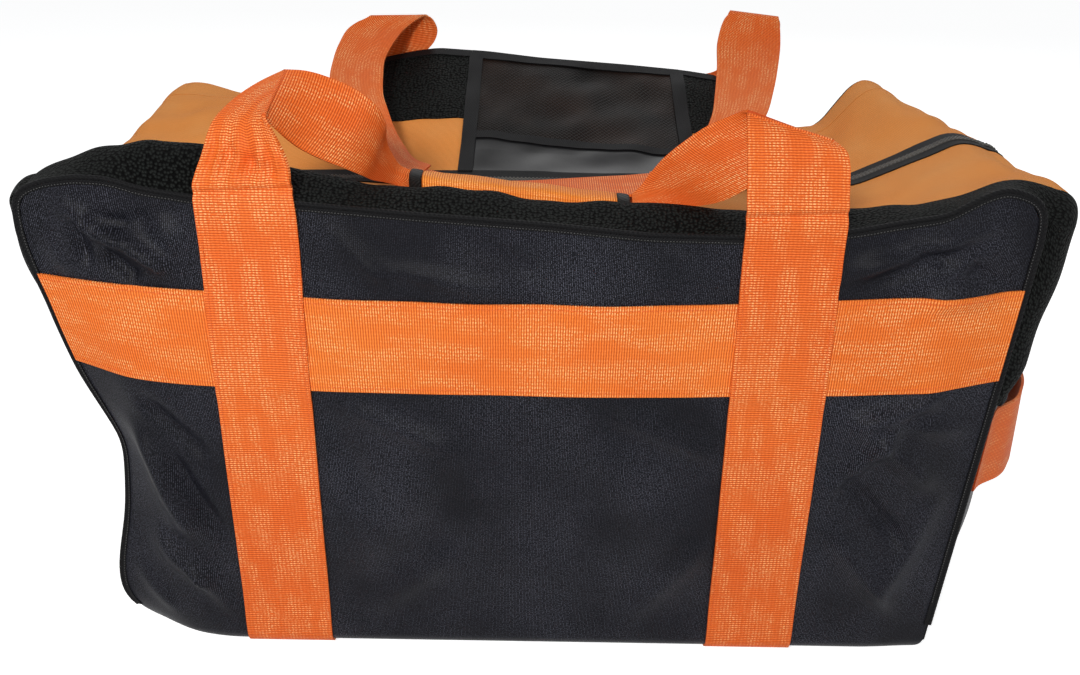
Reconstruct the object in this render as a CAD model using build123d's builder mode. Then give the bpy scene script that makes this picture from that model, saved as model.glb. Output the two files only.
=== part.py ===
from build123d import *
import os
from math import atan2, cos, degrees, hypot, radians, sin

os.makedirs("parts", exist_ok=True)

# A soft-sided equipment bag. The origin is on the floor below the middle of the bag, +X runs along its
# length, the front faces -Y and +Z is up. Driving dimensions are in millimetres.

# Body
body_depth = 400.0
front_height = 400.0
rear_height = 440.0
top_half_length = 385.0
base_half_length = 358.0
base_corner_radius = 30.0
panel_thickness = 3.0
end_bulge_top = 42.0
end_bulge_base = 8.0
end_shoulder_inset = 40.0
end_shoulder_y = body_depth / 2 - end_shoulder_inset
end_seam_height = 205.0
end_top_height = 394.0
piping_radius = 3.0
piping_bend = 9.0
gap = 0.3

# Webbing
webbing_width = 75.0
webbing_thickness = 2.5
left_strap_x = -207.0
right_strap_x = 200.0
band_bottom = 259.0
band_height = 75.0

# Top and zipper
zipper_height = 376.0
zipper_rise = 39.0
zipper_flat_half = 300.0
crest_x = 385.0
flap_half_length = 245.0
mesh_strip_y = 162.0
mesh_strip_height = 402.5
tape_half_width = 13.5
tape_thickness = 1.5
coil_half_width = 3.0
coil_height = 2.0
coil_split = 0.2

# Window, bindings and mesh on the rear half of the top
window_left = -60.0
window_right = 150.0
binding_width = 12.0
lower_pane_share = 0.22
mesh_start_share = 0.42
mesh_left_inset = 65.0
mesh_left = mesh_left_inset - flap_half_length
mesh_right_inset = 32.0
mesh_right = flap_half_length - mesh_right_inset

# Carry handles
grip_left = -83.0
grip_right = 78.0
grip_end_length = 13.0
grip_y = -111.5
grip_width = 27.0
grip_thickness = 16.0
grip_height = 397.5
handle_apex_rise = 100.0
handle_lean = 33.0
rear_loop_left = -80.0
rear_loop_right = 95.0
rear_loop_front = -88.0
rear_loop_back = -14.0
rear_apex_rise = 62.0
loop_turn_half = 18.5

# End handles
end_handle_bottom = 152.0
end_handle_reach = top_half_length + end_bulge_top
end_handle_tab_inset = 22.0
end_handle_tab_y = body_depth / 2 - end_handle_tab_inset
end_handle_loop_inset = 60.0
end_handle_loop_y = body_depth / 2 - end_handle_loop_inset

# Zipper slider and pull
slider_rest_x = 288.0
slider_half_length = 12.0
slider_half_width = 7.0
slider_plate = 3.0
ear_height = 5.0
ear_thickness = 1.6
ear_half_length = 3.0
pull_pin_radius = 0.9
pull_pin_clearance = 0.25
pull_length = 30.0
pull_width = 6.2
pull_thickness = 1.4

# Places that follow from the sizes above
half_depth = body_depth / 2
base_z = webbing_thickness
wall_base_z = base_z + base_corner_radius
band_face = half_depth + webbing_thickness
strap_face = band_face + webbing_thickness
end_edge_y = half_depth - panel_thickness - piping_radius / 2
flap_front_y = tape_half_width + gap
flap_rear_y = end_edge_y - 2.0
front_axis_z = front_height + 2.0
rear_axis_z = rear_height + 1.0
end_slope = (top_half_length - base_half_length) / (front_height - wall_base_z)


def half_length_at(z):
    """Half the length of the front and rear panels at height z."""
    return base_half_length + end_slope * (z - wall_base_z)


def bulge_at(z):
    """How far an end stands out past the panels' side edges at height z."""
    share = (z - wall_base_z) / (front_height - wall_base_z)
    return end_bulge_base + (end_bulge_top - end_bulge_base) * share


def end_reach_at(z):
    return half_length_at(z) + bulge_at(z)


def finish(part, name):
    part.label = name
    export_step(part, "parts/" + name + ".step")


# ---- Body panels ----


def long_wall(name, side, height):
    """A long wall: upright, rounded in under the bag, and cut to the tapered outline of the bag's face."""
    top = height - 2 * piping_radius
    with BuildPart() as wall:
        with BuildSketch(Plane.YZ):
            with BuildLine():
                FilletPolyline(
                    (side * (half_depth - panel_thickness / 2), top),
                    (side * (half_depth - panel_thickness / 2), base_z + panel_thickness / 2),
                    (side * (half_depth - base_corner_radius), base_z + panel_thickness / 2),
                    radius=base_corner_radius - panel_thickness / 2 - 0.01,
                )
            trace(line_width=panel_thickness)
        extrude(amount=top_half_length * 1.1, both=True)
        with BuildSketch(Plane.XZ) as outline:
            with BuildLine():
                trim = piping_radius + gap
                Polyline(
                    (-half_length_at(top) + trim, top),
                    (half_length_at(top) - trim, top),
                    (half_length_at(base_z) - trim, base_z - 1),
                    (-half_length_at(base_z) + trim, base_z - 1),
                    close=True,
                )
            make_face()
            fillet(outline.vertices().group_by(Axis.Y)[-1], piping_bend - piping_radius)
            fillet(outline.vertices().group_by(Axis.Y)[0], base_corner_radius)
        extrude(amount=body_depth, both=True, mode=Mode.INTERSECT)
    finish(wall.part, name)


long_wall("front_panel", -1, front_height)
long_wall("rear_panel", 1, rear_height)

with BuildPart() as bottom_panel:
    bottom_half = half_length_at(base_z) - piping_radius - gap
    with BuildSketch(Plane.XZ):
        with BuildLine():
            FilletPolyline(
                (-half_length_at(wall_base_z) + panel_thickness, wall_base_z),
                (-bottom_half + panel_thickness / 2, base_z + panel_thickness / 2),
                (bottom_half - panel_thickness / 2, base_z + panel_thickness / 2),
                (half_length_at(wall_base_z) - panel_thickness, wall_base_z),
                radius=base_corner_radius * 0.8,
            )
        trace(line_width=panel_thickness)
    extrude(amount=half_depth - base_corner_radius, both=True)
finish(bottom_panel.part, "bottom_panel")


def end_outline(side, z):
    """The plan of one end at height z: out from the side edge at the shoulders, then nearly flat."""
    edge = half_length_at(z)
    reach = end_reach_at(z)
    shoulder = edge + 0.85 * bulge_at(z)
    outer = [
        (side * edge, -end_edge_y),
        (side * shoulder, -end_shoulder_y),
        (side * reach, 0),
        (side * shoulder, end_shoulder_y),
        (side * edge, end_edge_y),
    ]
    inner = [(x - side * panel_thickness, y) for x, y in reversed(outer)]
    return outer + inner


def end_wall(name, side, low, high):
    with BuildPart() as wall:
        for z in (low, high):
            with BuildSketch(Plane.XY.offset(z)):
                with BuildLine():
                    Polyline(*end_outline(side, z), close=True)
                make_face()
        loft(ruled=True)
    finish(wall.part, name)


for side_name, side in (("left", -1), ("right", 1)):
    end_wall(side_name + "_end_panel", side, wall_base_z + gap, end_seam_height)
    end_wall(side_name + "_end_upper", side, end_seam_height, end_top_height)


def piping(name, side, height):
    """The cord sewn round the top and side edges of a long wall."""
    centre_z = height - piping_radius + gap
    foot_z = wall_base_z
    with BuildPart() as cord:
        with BuildLine(Plane.XZ.offset(-side * (half_depth - 1))) as path:
            FilletPolyline(
                (-half_length_at(foot_z), foot_z),
                (-half_length_at(centre_z), centre_z),
                (half_length_at(centre_z), centre_z),
                (half_length_at(foot_z), foot_z),
                radius=piping_bend,
            )
        with BuildSketch(Plane(origin=path.wire() @ 0, z_dir=path.wire() % 0)):
            Circle(piping_radius)
        sweep(path=path.wire())
    finish(cord.part, name)


piping("front_piping", -1, front_height)
piping("rear_piping", 1, rear_height)

# ---- Webbing sewn round the body ----


def band(name, side):
    """The wide band across a long wall, under the two straps."""
    with BuildPart() as strip:
        with BuildSketch(Plane.XZ.offset(-side * half_depth)):
            top = band_bottom + band_height
            trim = piping_radius + gap
            with BuildLine():
                Polyline(
                    (-half_length_at(band_bottom) + trim, band_bottom),
                    (half_length_at(band_bottom) - trim, band_bottom),
                    (half_length_at(top) - trim, top),
                    (-half_length_at(top) + trim, top),
                    close=True,
                )
            make_face()
        extrude(amount=-side * webbing_thickness)
    finish(strip.part, name)


band("front_band", -1)
band("rear_band", 1)


def strap(name, centre_x):
    """One strap of webbing: down the front, under the bottom and up the rear, over both bands."""
    run = strap_face - webbing_thickness / 2
    with BuildPart() as loop:
        with BuildSketch(Plane.YZ.offset(centre_x)):
            with BuildLine():
                FilletPolyline(
                    (-run, front_axis_z - 2 * gap),
                    (-run, webbing_thickness / 2),
                    (run, webbing_thickness / 2),
                    (run, rear_axis_z - 2 * gap),
                    radius=base_corner_radius + webbing_thickness,
                )
            trace(line_width=webbing_thickness)
        extrude(amount=webbing_width / 2, both=True)
    finish(loop.part, name)


strap("left_strap", left_strap_x)
strap("right_strap", right_strap_x)


def end_handle(name, side):
    """A webbing handle across one end. Its two tabs are sewn on and the run between them stands off."""
    middle = end_handle_bottom + webbing_width / 2
    tilt = (end_reach_at(middle + 1) - end_reach_at(middle)) * side
    edge = half_length_at(middle) + 0.47 * bulge_at(middle)
    rise = end_handle_reach - webbing_thickness - edge
    with BuildPart() as handle:
        plane = Plane(origin=(side * edge, 0, middle), x_dir=(0, 1, 0), z_dir=(tilt, 0, 1))
        with BuildSketch(plane):
            out = 1 if plane.y_dir.X * side > 0 else -1
            with BuildLine():
                FilletPolyline(
                    (-end_handle_tab_y, out * webbing_thickness),
                    (-end_handle_loop_y, out * (rise * 0.85)),
                    (0, out * rise * 0.8),
                    (end_handle_loop_y, out * (rise * 0.85)),
                    (end_handle_tab_y, out * webbing_thickness),
                    radius=12,
                )
            trace(line_width=webbing_thickness)
        extrude(amount=webbing_width / 2, both=True)
    finish(handle.part, name)


end_handle("left_end_handle", -1)
end_handle("right_end_handle", 1)

# ---- Fixed parts of the top ----


def zipper_line(side, start):
    """Side view of the zipper from x = start out to the end of the bag: flat, up the rise, over the end."""
    crest = zipper_height + zipper_rise
    reach = end_reach_at(end_top_height)
    return [
        (side * start, zipper_height),
        (side * zipper_flat_half, zipper_height),
        (side * crest_x, crest),
        (side * (reach - 12), crest - 1),
        (side * (reach - 1), end_top_height + 4),
    ]


def slab_outline(points, thickness):
    """A closed outline from a line of top points and the same points one thickness lower."""
    return points + [(x, z - thickness) for x, z in reversed(points)]


def slab(name, sections, thickness):
    """A sheet whose side view changes evenly from one section to the next. A section is (y, points)."""
    with BuildPart() as sheet:
        for y, points in sections:
            with BuildSketch(Plane.XZ.offset(-y)):
                with BuildLine():
                    Polyline(*slab_outline(points, thickness), close=True)
                make_face()
        loft(ruled=True)
    finish(sheet.part, name)


def stretched(points, side, reach, heights):
    """The zipper line's x places squeezed to end at reach, at the given heights."""
    start = abs(points[0][0])
    scale = (reach - start) / (abs(points[-1][0]) - start)
    return [(side * (start + (abs(x) - start) * scale), z) for (x, _), z in zip(points, heights)]


shoulder_reach = half_length_at(end_top_height) + 0.85 * bulge_at(end_top_height) - 1
edge_reach = half_length_at(end_top_height) - 1
front_shoulder_heights = (mesh_strip_height, mesh_strip_height + 2, 412, 410, end_top_height + 4)
rear_shoulder_heights = {-1: (425, 421, 430, 428, end_top_height + 4), 1: (425, 388, 430, 430, end_top_height + 4)}
rear_edge_heights = {-1: (437, 427, 431, 428, end_top_height + 4), 1: (437, 392, 437, 431, end_top_height + 4)}

for side_name, side in (("left", -1), ("right", 1)):
    line = zipper_line(side, flap_half_length + 3)
    slab(
        side_name + "_front_top_end",
        [
            (-mesh_strip_y + gap, stretched(line, side, shoulder_reach, front_shoulder_heights)),
            (-tape_half_width - gap, line),
        ],
        panel_thickness,
    )
    slab(
        side_name + "_rear_top_end",
        [
            (tape_half_width + gap, line),
            (end_shoulder_y, stretched(line, side, shoulder_reach, rear_shoulder_heights[side])),
            (end_edge_y, stretched(line, side, edge_reach, rear_edge_heights[side])),
        ],
        panel_thickness,
    )
    with BuildPart() as zip_end:
        with BuildSketch(Plane.XZ):
            with BuildLine():
                Polyline(*slab_outline(line, tape_thickness), close=True)
            make_face()
        extrude(amount=tape_half_width, both=True)
        with BuildSketch(Plane.XZ):
            with BuildLine():
                raised = [(x, z + coil_height) for x, z in line]
                Polyline(*slab_outline(raised, coil_height), close=True)
            make_face()
        extrude(amount=coil_half_width, both=True)
    finish(zip_end.part, side_name + "_zip_end")

front_run = flap_half_length + 3 - gap
slab(
    "front_mesh_strip",
    [
        (-end_edge_y, [(-edge_reach + 1, front_height - 1), (edge_reach - 1, front_height - 1)]),
        (-mesh_strip_y, [(-shoulder_reach + 1, mesh_strip_height), (shoulder_reach - 1, mesh_strip_height)]),
    ],
    panel_thickness,
)
slab(
    "front_top_panel",
    [
        (-mesh_strip_y + gap, [(-front_run, mesh_strip_height), (front_run, mesh_strip_height)]),
        (-tape_half_width - gap, [(-front_run, zipper_height), (front_run, zipper_height)]),
    ],
    panel_thickness,
)


def zipper_half(tape_name, coil_name, side, half_length):
    """One side of the straight run of the zipper: its tape, with the coil on the tape's free edge."""
    with BuildPart() as tape:
        with BuildSketch(Plane.XY.offset(zipper_height)):
            with BuildLine():
                Polyline(
                    (-half_length, side * coil_split),
                    (half_length, side * coil_split),
                    (half_length, side * tape_half_width),
                    (-half_length, side * tape_half_width),
                    close=True,
                )
            make_face()
        extrude(amount=-tape_thickness)
    finish(tape.part, tape_name)
    with BuildPart() as coil:
        with BuildSketch(Plane.XY.offset(zipper_height)):
            with BuildLine():
                Polyline(
                    (-half_length, side * coil_split),
                    (half_length, side * coil_split),
                    (half_length, side * coil_half_width),
                    (-half_length, side * coil_half_width),
                    close=True,
                )
            make_face()
        extrude(amount=coil_height)
    finish(coil.part, coil_name)


zipper_half("front_zip_tape", "front_zip_coil", -1, front_run)
zipper_half("flap_zip_tape", "flap_zip_coil", 1, flap_half_length)

# ---- Rear half of the top: a flap that opens about the rear top edge ----

flap_angle = atan2(rear_height - 1 - zipper_height, flap_rear_y - flap_front_y)
flap_run = hypot(rear_height - 1 - zipper_height, flap_rear_y - flap_front_y)
flap_plane = Plane(
    origin=(0, flap_front_y, zipper_height),
    x_dir=(1, 0, 0),
    z_dir=(0, -sin(flap_angle), cos(flap_angle)),
)
mesh_start = mesh_start_share * flap_run
frame_left = window_left - binding_width / 2
frame_right = window_right + binding_width / 2
pane_split = lower_pane_share * flap_run


def flap_sheet(name, outline, thickness):
    """A flat piece of the flap. Its outline is (x, distance up the flap from the zipper)."""
    with BuildPart() as sheet:
        with BuildSketch(flap_plane):
            with BuildLine():
                Polyline(*outline, close=True)
            make_face()
        extrude(amount=-thickness)
    finish(sheet.part, name)


def box_outline(left, low, right, high):
    return [(left, low), (right, low), (right, high), (left, high)]


flap_sheet(
    "flap_left_panel",
    [
        (-flap_half_length, 0),
        (frame_left, 0),
        (frame_left, mesh_start),
        (mesh_left, mesh_start),
        (mesh_left, flap_run),
        (-flap_half_length, flap_run),
    ],
    panel_thickness,
)
flap_sheet(
    "flap_right_panel",
    [
        (frame_right, 0),
        (flap_half_length, 0),
        (flap_half_length, flap_run),
        (mesh_right, flap_run),
        (mesh_right, mesh_start),
        (frame_right, mesh_start),
    ],
    panel_thickness,
)
flap_sheet("flap_left_mesh", box_outline(mesh_left, mesh_start, frame_left, flap_run), panel_thickness)
flap_sheet("flap_right_mesh", box_outline(frame_right, mesh_start, mesh_right, flap_run), panel_thickness)

inner_left = frame_left + binding_width
inner_right = frame_right - binding_width
upper_low = pane_split + binding_width
upper_high = flap_run - binding_width
with BuildPart() as window_frame:
    with BuildSketch(flap_plane):
        with BuildLine():
            Polyline(*box_outline(frame_left, 0, frame_right, flap_run), close=True)
        make_face()
        with BuildLine():
            Polyline(*box_outline(inner_left, 0, inner_right, pane_split), close=True)
        make_face(mode=Mode.SUBTRACT)
        with BuildLine():
            Polyline(*box_outline(inner_left, upper_low, inner_right, upper_high), close=True)
        make_face(mode=Mode.SUBTRACT)
    extrude(amount=-panel_thickness)
finish(window_frame.part, "window_frame")
flap_sheet("window_lower", box_outline(inner_left, 0, inner_right, pane_split), panel_thickness / 2)
flap_sheet("window_upper", box_outline(inner_left, upper_low, inner_right, upper_high), panel_thickness / 2)

# ---- Carry handles ----


def plate_at(z, left, right, near_y, far_y):
    """A rectangle of webbing cut level at height z."""
    with BuildSketch(Plane.XY.offset(z)) as plate:
        with BuildLine():
            Polyline(*box_outline(left, near_y, right, far_y), close=True)
        make_face()
    return plate.sketch


def plate_across(x, near_y, far_y, low, high):
    """A rectangle of webbing cut across the bag at x."""
    with BuildSketch(Plane.YZ.offset(x)) as plate:
        with BuildLine():
            Polyline(*box_outline(near_y, low, far_y, high), close=True)
        make_face()
    return plate.sketch


front_root_y = -strap_face
front_fold_y = front_root_y + handle_lean
fold_depth = 9.0
front_apex_z = front_axis_z + handle_apex_rise
front_root_z = front_axis_z + gap
grip_back_y = grip_y + grip_width / 2
grip_front_y = grip_y - grip_width / 2


def front_handle_side(name, side, strap_x, fold_x, grip_x):
    """One side of the front handle: up from the strap, folded over, and down to the end of the grip."""
    half = webbing_width / 2
    fold_left = fold_x - 0.45 * webbing_width
    fold_right = fold_x + 0.45 * webbing_width
    root = plate_at(
        front_root_z, strap_x - half, strap_x + half, front_root_y, front_root_y + webbing_thickness
    )
    apex = plate_at(front_apex_z, fold_left, fold_right, front_fold_y, front_fold_y + webbing_thickness)
    with BuildPart() as leg:
        loft([root, apex], ruled=True)
        with Locations(((fold_left + fold_right) / 2, front_fold_y, front_apex_z)):
            Box(fold_right - fold_left, fold_depth, 6, align=(Align.CENTER, Align.MIN, Align.MAX))
    strand_start = fold_x - side * 0.2 * webbing_width
    fold_back_y = front_fold_y + fold_depth
    near = plate_across(
        strand_start, fold_back_y - webbing_thickness - 1, fold_back_y, front_apex_z - 50, front_apex_z
    )
    far = plate_across(grip_x, grip_front_y + 5, grip_back_y - 5, grip_height + 3, grip_height + 13)
    with BuildPart() as strand:
        loft([near, far], ruled=True)
    with BuildPart() as whole:
        add(leg.part)
        add(strand.part)
    finish(whole.part, name)


front_handle_side("front_handle_left", -1, left_strap_x, -190.0, grip_left)
front_handle_side("front_handle_right", 1, right_strap_x, 192.0, grip_right)


def grip_section(name, left, right, inset):
    """A length of the padded grip: a bar with rounded long edges."""
    with BuildPart() as bar:
        with BuildSketch(Plane.YZ.offset(left)):
            with Locations((grip_y, grip_height + grip_thickness / 2)):
                RectangleRounded(grip_width - 2 * inset, grip_thickness - 2 * inset, 5)
        extrude(amount=right - left)
    finish(bar.part, name)


grip_section("grip_sleeve", grip_left + grip_end_length, grip_right - grip_end_length, 0.0)
grip_section("grip_left_end", grip_left, grip_left + grip_end_length, 1.0)
grip_section("grip_right_end", grip_right - grip_end_length, grip_right, 1.0)

rear_root_y = strap_face
rear_root_z = rear_axis_z + gap
rear_apex_z = rear_axis_z + rear_apex_rise
loop_height = zipper_height + (mesh_strip_height - zipper_height) * (
    (-rear_loop_front - tape_half_width) / (mesh_strip_y - tape_half_width)
) + 4.0


def rear_handle_side(name, strap_x, fold_x, loop_x):
    """One side of the rear handle: up from the strap, folded over, and forward down to the loop."""
    half = webbing_width / 2
    root = plate_at(
        rear_root_z, strap_x - half, strap_x + half, rear_root_y - webbing_thickness, rear_root_y
    )
    apex = plate_at(
        rear_apex_z, fold_x - half, fold_x + half, rear_root_y - 8 - webbing_thickness, rear_root_y - 8
    )
    with BuildPart() as leg:
        loft([root, apex], ruled=True)
    with BuildPart() as strand:
        with BuildSketch(Plane.XZ.offset(-(rear_root_y - 8))):
            with Locations((fold_x, rear_apex_z - webbing_thickness)):
                Rectangle(webbing_width, 2 * webbing_thickness)
        with BuildSketch(Plane.XZ.offset(-(rear_loop_back + 4))):
            with Locations((loop_x, loop_height + 17)):
                Rectangle(36, 5)
        loft(ruled=True)
    with BuildPart() as turn:
        with BuildSketch(Plane.XZ.offset(-(rear_loop_back + 4.5))):
            with Locations((loop_x, loop_height + 17)):
                Rectangle(36, 5)
        with BuildSketch(Plane.XZ.offset(-(rear_loop_front + 6))):
            with Locations((loop_x, loop_height + 1.5)):
                Rectangle(36, 3)
        loft(ruled=True)
    with BuildPart() as whole:
        add(leg.part)
        add(strand.part)
        add(turn.part)
    finish(whole.part, name)


rear_handle_side("rear_handle_left", left_strap_x, -140.0, rear_loop_left - loop_turn_half)
rear_handle_side("rear_handle_right", right_strap_x, 228.0, rear_loop_right + loop_turn_half)

with BuildPart() as rear_handle_loop:
    with BuildSketch(Plane.XY.offset(loop_height)):
        with BuildLine():
            Polyline(*box_outline(rear_loop_left, rear_loop_front, rear_loop_right, rear_loop_back), close=True)
        make_face()
    extrude(amount=webbing_thickness)
finish(rear_handle_loop.part, "rear_handle_loop")

# ---- Zipper slider and pull ----

slider_base = zipper_height + coil_height + gap
slider_top = slider_base + slider_plate
pin_z = slider_top + ear_height - 2 * pull_pin_radius
ear_y = pull_width / 2 + gap
with BuildPart() as zip_slider:
    with BuildSketch(Plane.XY.offset(slider_base)):
        with Locations((slider_rest_x, 0)):
            RectangleRounded(2 * slider_half_length, 2 * slider_half_width, 4)
    extrude(amount=slider_plate)
    for side in (-1, 1):
        lip = (slider_half_width + coil_half_width + gap) / 2 + 0.2
        with Locations((slider_rest_x, side * lip, slider_base)):
            Box(
                2 * slider_half_length - 9,
                slider_half_width - coil_half_width - 2 * gap,
                coil_height - gap,
                align=(Align.CENTER, Align.CENTER, Align.MAX),
            )
        with Locations((slider_rest_x, side * (ear_y + ear_thickness / 2), slider_top)):
            Box(2 * ear_half_length, ear_thickness, ear_height, align=(Align.CENTER, Align.CENTER, Align.MIN))
    with BuildSketch(Plane.XZ):
        with Locations((slider_rest_x, pin_z)):
            Circle(pull_pin_radius + pull_pin_clearance)
    extrude(amount=slider_half_width, both=True, mode=Mode.SUBTRACT)
finish(zip_slider.part, "slider_body")

with BuildPart() as zip_pull:
    with BuildSketch(Plane.XZ):
        with Locations((slider_rest_x, pin_z)):
            Circle(pull_pin_radius)
    extrude(amount=ear_y + ear_thickness, both=True)
    with BuildSketch(Plane.XZ):
        with Locations((slider_rest_x, pin_z)):
            Circle(pull_pin_radius + 0.8)
    extrude(amount=pull_width / 2, both=True)
    with BuildSketch(Plane.XY.offset(pin_z - pull_thickness / 2)):
        with Locations((slider_rest_x - pull_length / 2, 0)):
            RectangleRounded(pull_length, pull_width, 2.5)
    extrude(amount=pull_thickness)
finish(zip_pull.part, "pull_tab")
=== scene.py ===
import bmesh
import bpy
import numpy as np
from bpy.props import FloatProperty, FloatVectorProperty, PointerProperty
from bpy.types import Operator, Panel, PropertyGroup
from mathutils import Matrix


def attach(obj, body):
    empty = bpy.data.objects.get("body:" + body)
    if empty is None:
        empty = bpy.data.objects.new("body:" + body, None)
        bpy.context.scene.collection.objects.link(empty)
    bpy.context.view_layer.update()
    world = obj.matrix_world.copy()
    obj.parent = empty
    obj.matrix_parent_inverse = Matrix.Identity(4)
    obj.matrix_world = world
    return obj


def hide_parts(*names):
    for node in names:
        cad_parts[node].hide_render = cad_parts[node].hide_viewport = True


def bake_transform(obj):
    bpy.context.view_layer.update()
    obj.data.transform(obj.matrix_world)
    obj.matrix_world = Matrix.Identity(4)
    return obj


bl_info = {
    "name": "Equipment Bag Builder",
    "version": (1, 0, 0),
    "blender": (4, 5, 0),
    "location": "View3D > Sidebar > Bag",
    "description": "Builds the cloth, webbing, zipper and windows of a soft-sided equipment bag",
    "category": "Add Mesh",
}

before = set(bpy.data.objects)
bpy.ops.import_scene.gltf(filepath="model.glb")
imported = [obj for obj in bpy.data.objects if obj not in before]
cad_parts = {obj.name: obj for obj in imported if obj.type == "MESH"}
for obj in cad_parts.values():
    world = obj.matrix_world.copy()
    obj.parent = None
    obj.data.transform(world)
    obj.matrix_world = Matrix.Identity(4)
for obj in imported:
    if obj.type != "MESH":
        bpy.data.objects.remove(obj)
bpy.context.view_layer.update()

# ---------------------------------------------------------------------------------------------------
# Sizes, in millimetres. Meshes are worked out in millimetres and put into Blender in metres.
# ---------------------------------------------------------------------------------------------------

# Walls and ends
HALF_DEPTH = 200.0  # the long walls' planes
BASE_Z = 2.5  # the bottom stands on its straps
CORNER_RADIUS = 15.0  # where a wall turns under
WALL_BASE = BASE_Z + CORNER_RADIUS
BASE_HALF = 358.0
TOP_HALF = 385.0
FRONT_HEIGHT = 400.0
SLOPE = (TOP_HALF - BASE_HALF) / (FRONT_HEIGHT - WALL_BASE)  # how far the ends lean out
END_TOP = 394.0
SEAM_Z = 252.0  # dark cloth below, orange above
END_FOLD = 2.5

# Straps and handles
STRAP_FACE = 205.0  # outer face of the straps on the walls
LEFT_STRAP_X = -207.0
RIGHT_STRAP_X = 200.0
HALF_WEBBING = 37.5
FRONT_STRAP_TOP = 402.0
REAR_STRAP_TOP = 440.5
REAR_LEFT_STRAP_TOP = 416.0
END_HANDLE_Z = (164, 238)

# Opening half of the top, and zipper
FLAP_HALF = 246.0
WINDOW = (-66.0, 156.0)  # left and right
MESH_X = (-180.0, 213.0)  # outer edges of the two pieces of mesh
TAPE_HALF = 18.0
ZIPPER_REACH = 2.75  # where the zipper ends on the skin, see skin()
ZIPPER_HALF_GAP = 0.3
ZIPPER_STEP = 6.0  # between rows of the tape
COIL_STEP = 0.8  # between rows of the coil

# Thicknesses
CLOTH_THICKNESS = 1.6
TRIM_THICKNESS = 1.8
LINING_THICKNESS = 0.8

# Top edges of the long walls as (x, z), and heights across the top as (y, line)
FRONT_TOP_LINE = [
    (-390, 396), (-386, 404), (-374, 418), (-360, 424), (-334, 428), (-309, 427), (-285, 420),
    (-246, 414), (-169, 410), (-80, 403), (14, 397), (91, 390), (170, 389), (243, 395), (276, 402),
    (311, 408), (327, 418), (343, 427), (357, 429), (369, 423), (379, 411), (386, 396),
]
REAR_TOP_LINE = [
    (-397, 408), (-390, 419), (-376, 426), (-358, 426), (-340, 421), (-321, 415), (-300, 413),
    (-270, 414), (-245, 417), (-225, 423), (-205, 433), (-185, 444), (-161, 454), (-130, 461),
    (-103, 465), (-50, 462), (6, 456), (99, 450), (160, 445), (197, 440), (226, 421), (250, 394),
    (285, 386), (312, 389), (332, 418), (346, 437), (360, 440), (378, 431), (392, 414),
]
TOP_ROWS = [
    (-200, FRONT_TOP_LINE),
    (-163, [
        (-425, 390), (-402, 401), (-386, 414), (-354, 428), (-323, 441), (-292, 449), (-264, 448),
        (-246, 444), (-190, 428), (-100, 414), (14, 406), (150, 399), (240, 399), (288, 403),
        (325, 408), (350, 421), (368, 426), (381, 427), (396, 422), (414, 417), (432, 406),
    ]),
    (-135, [
        (-425, 396), (-385, 408), (-340, 424), (-270, 426), (-190, 408), (-80, 391), (14, 386),
        (150, 383), (240, 386), (300, 394), (345, 414), (385, 426), (410, 419), (432, 406),
    ]),
    (-70, [
        (-425, 396), (-385, 402), (-340, 410), (-270, 408), (-190, 392), (-80, 380), (14, 378),
        (150, 377), (240, 379), (300, 386), (345, 409), (385, 423), (427, 404),
    ]),
    (0, [
        (-430, 392), (-385, 400), (-345, 394), (-312, 381), (-292, 376), (-250, 375.5), (-150, 375.5),
        (0, 375.5), (250, 375.5), (296, 380), (345, 402), (383, 421), (403, 419), (430, 404),
    ]),
    (100, [
        (-425, 400), (-385, 410), (-306, 414), (-240, 409), (-160, 411), (-94, 416), (45, 410),
        (187, 402), (250, 388), (301, 382), (335, 408), (360, 428), (385, 430), (425, 406),
    ]),
    (200, REAR_TOP_LINE),
]


def length(name):
    """A length from the panel in millimetres, rounded to drop the noise of single precision."""
    return round(getattr(bpy.context.scene.bag_sizes, name) * 1000, 4)


def soft_line(points, x, softness=8.0):
    """Height of a line through points at x: straight runs, rounded by averaging nearby places."""
    px, pz = np.array(points, float).T
    shifts = np.linspace(-1.0, 1.0, 9) * softness
    return sum(np.interp(x + s, px, pz) for s in shifts) / len(shifts)


def hermite(stations, values, at, rows=False):
    """Smooth curve through values at rising stations, with slopes from neighbouring differences.
    values has one entry per station along its first axis. With rows, every place in at has values
    of its own: the rest of their shape is the shape of at."""
    stations = np.asarray(stations, float)
    values = np.asarray(values, float)
    slopes = np.gradient(values, stations, axis=0)
    at = np.asarray(at, float)
    i = np.clip(np.searchsorted(stations, at) - 1, 0, len(stations) - 2)
    h = stations[i + 1] - stations[i]
    t = np.clip((at - stations[i]) / h, 0.0, 1.0)

    def pick(array, k):
        """The station's value, or with rows each place's own."""
        return np.take_along_axis(array, k[None], 0)[0] if rows else array[k]

    def spread(w):
        """A weight with room for the parts of a point."""
        return w[..., None] if values.ndim > 1 and not rows else w

    p0, p1 = pick(values, i), pick(values, i + 1)
    m0, m1 = pick(slopes, i), pick(slopes, i + 1)
    a = spread((1 + 2 * t) * (1 - t) ** 2)
    b = spread(t * (1 - t) ** 2 * h)
    c = spread(t * t * (3 - 2 * t))
    d = spread(t * t * (t - 1) * h)
    return a * p0 + b * m0 + c * p1 + d * m1


def pair_flow(first, second, count):
    """Two smooth edges through matching points, stepped together by their mean chord length."""
    a, b = np.asarray(first, float), np.asarray(second, float)
    steps = (np.linalg.norm(np.diff(a, axis=0), axis=1) + np.linalg.norm(np.diff(b, axis=0),
                                                                         axis=1)) / 2
    stations = np.concatenate([[0.0], np.cumsum(np.maximum(steps, 1e-6))])
    at = np.linspace(0.0, stations[-1], count)
    return hermite(stations, a, at), hermite(stations, b, at)


def bump(x, centre, width):
    """A smooth hill of height one."""
    return np.exp(-(((x - centre) / width) ** 2))


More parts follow.
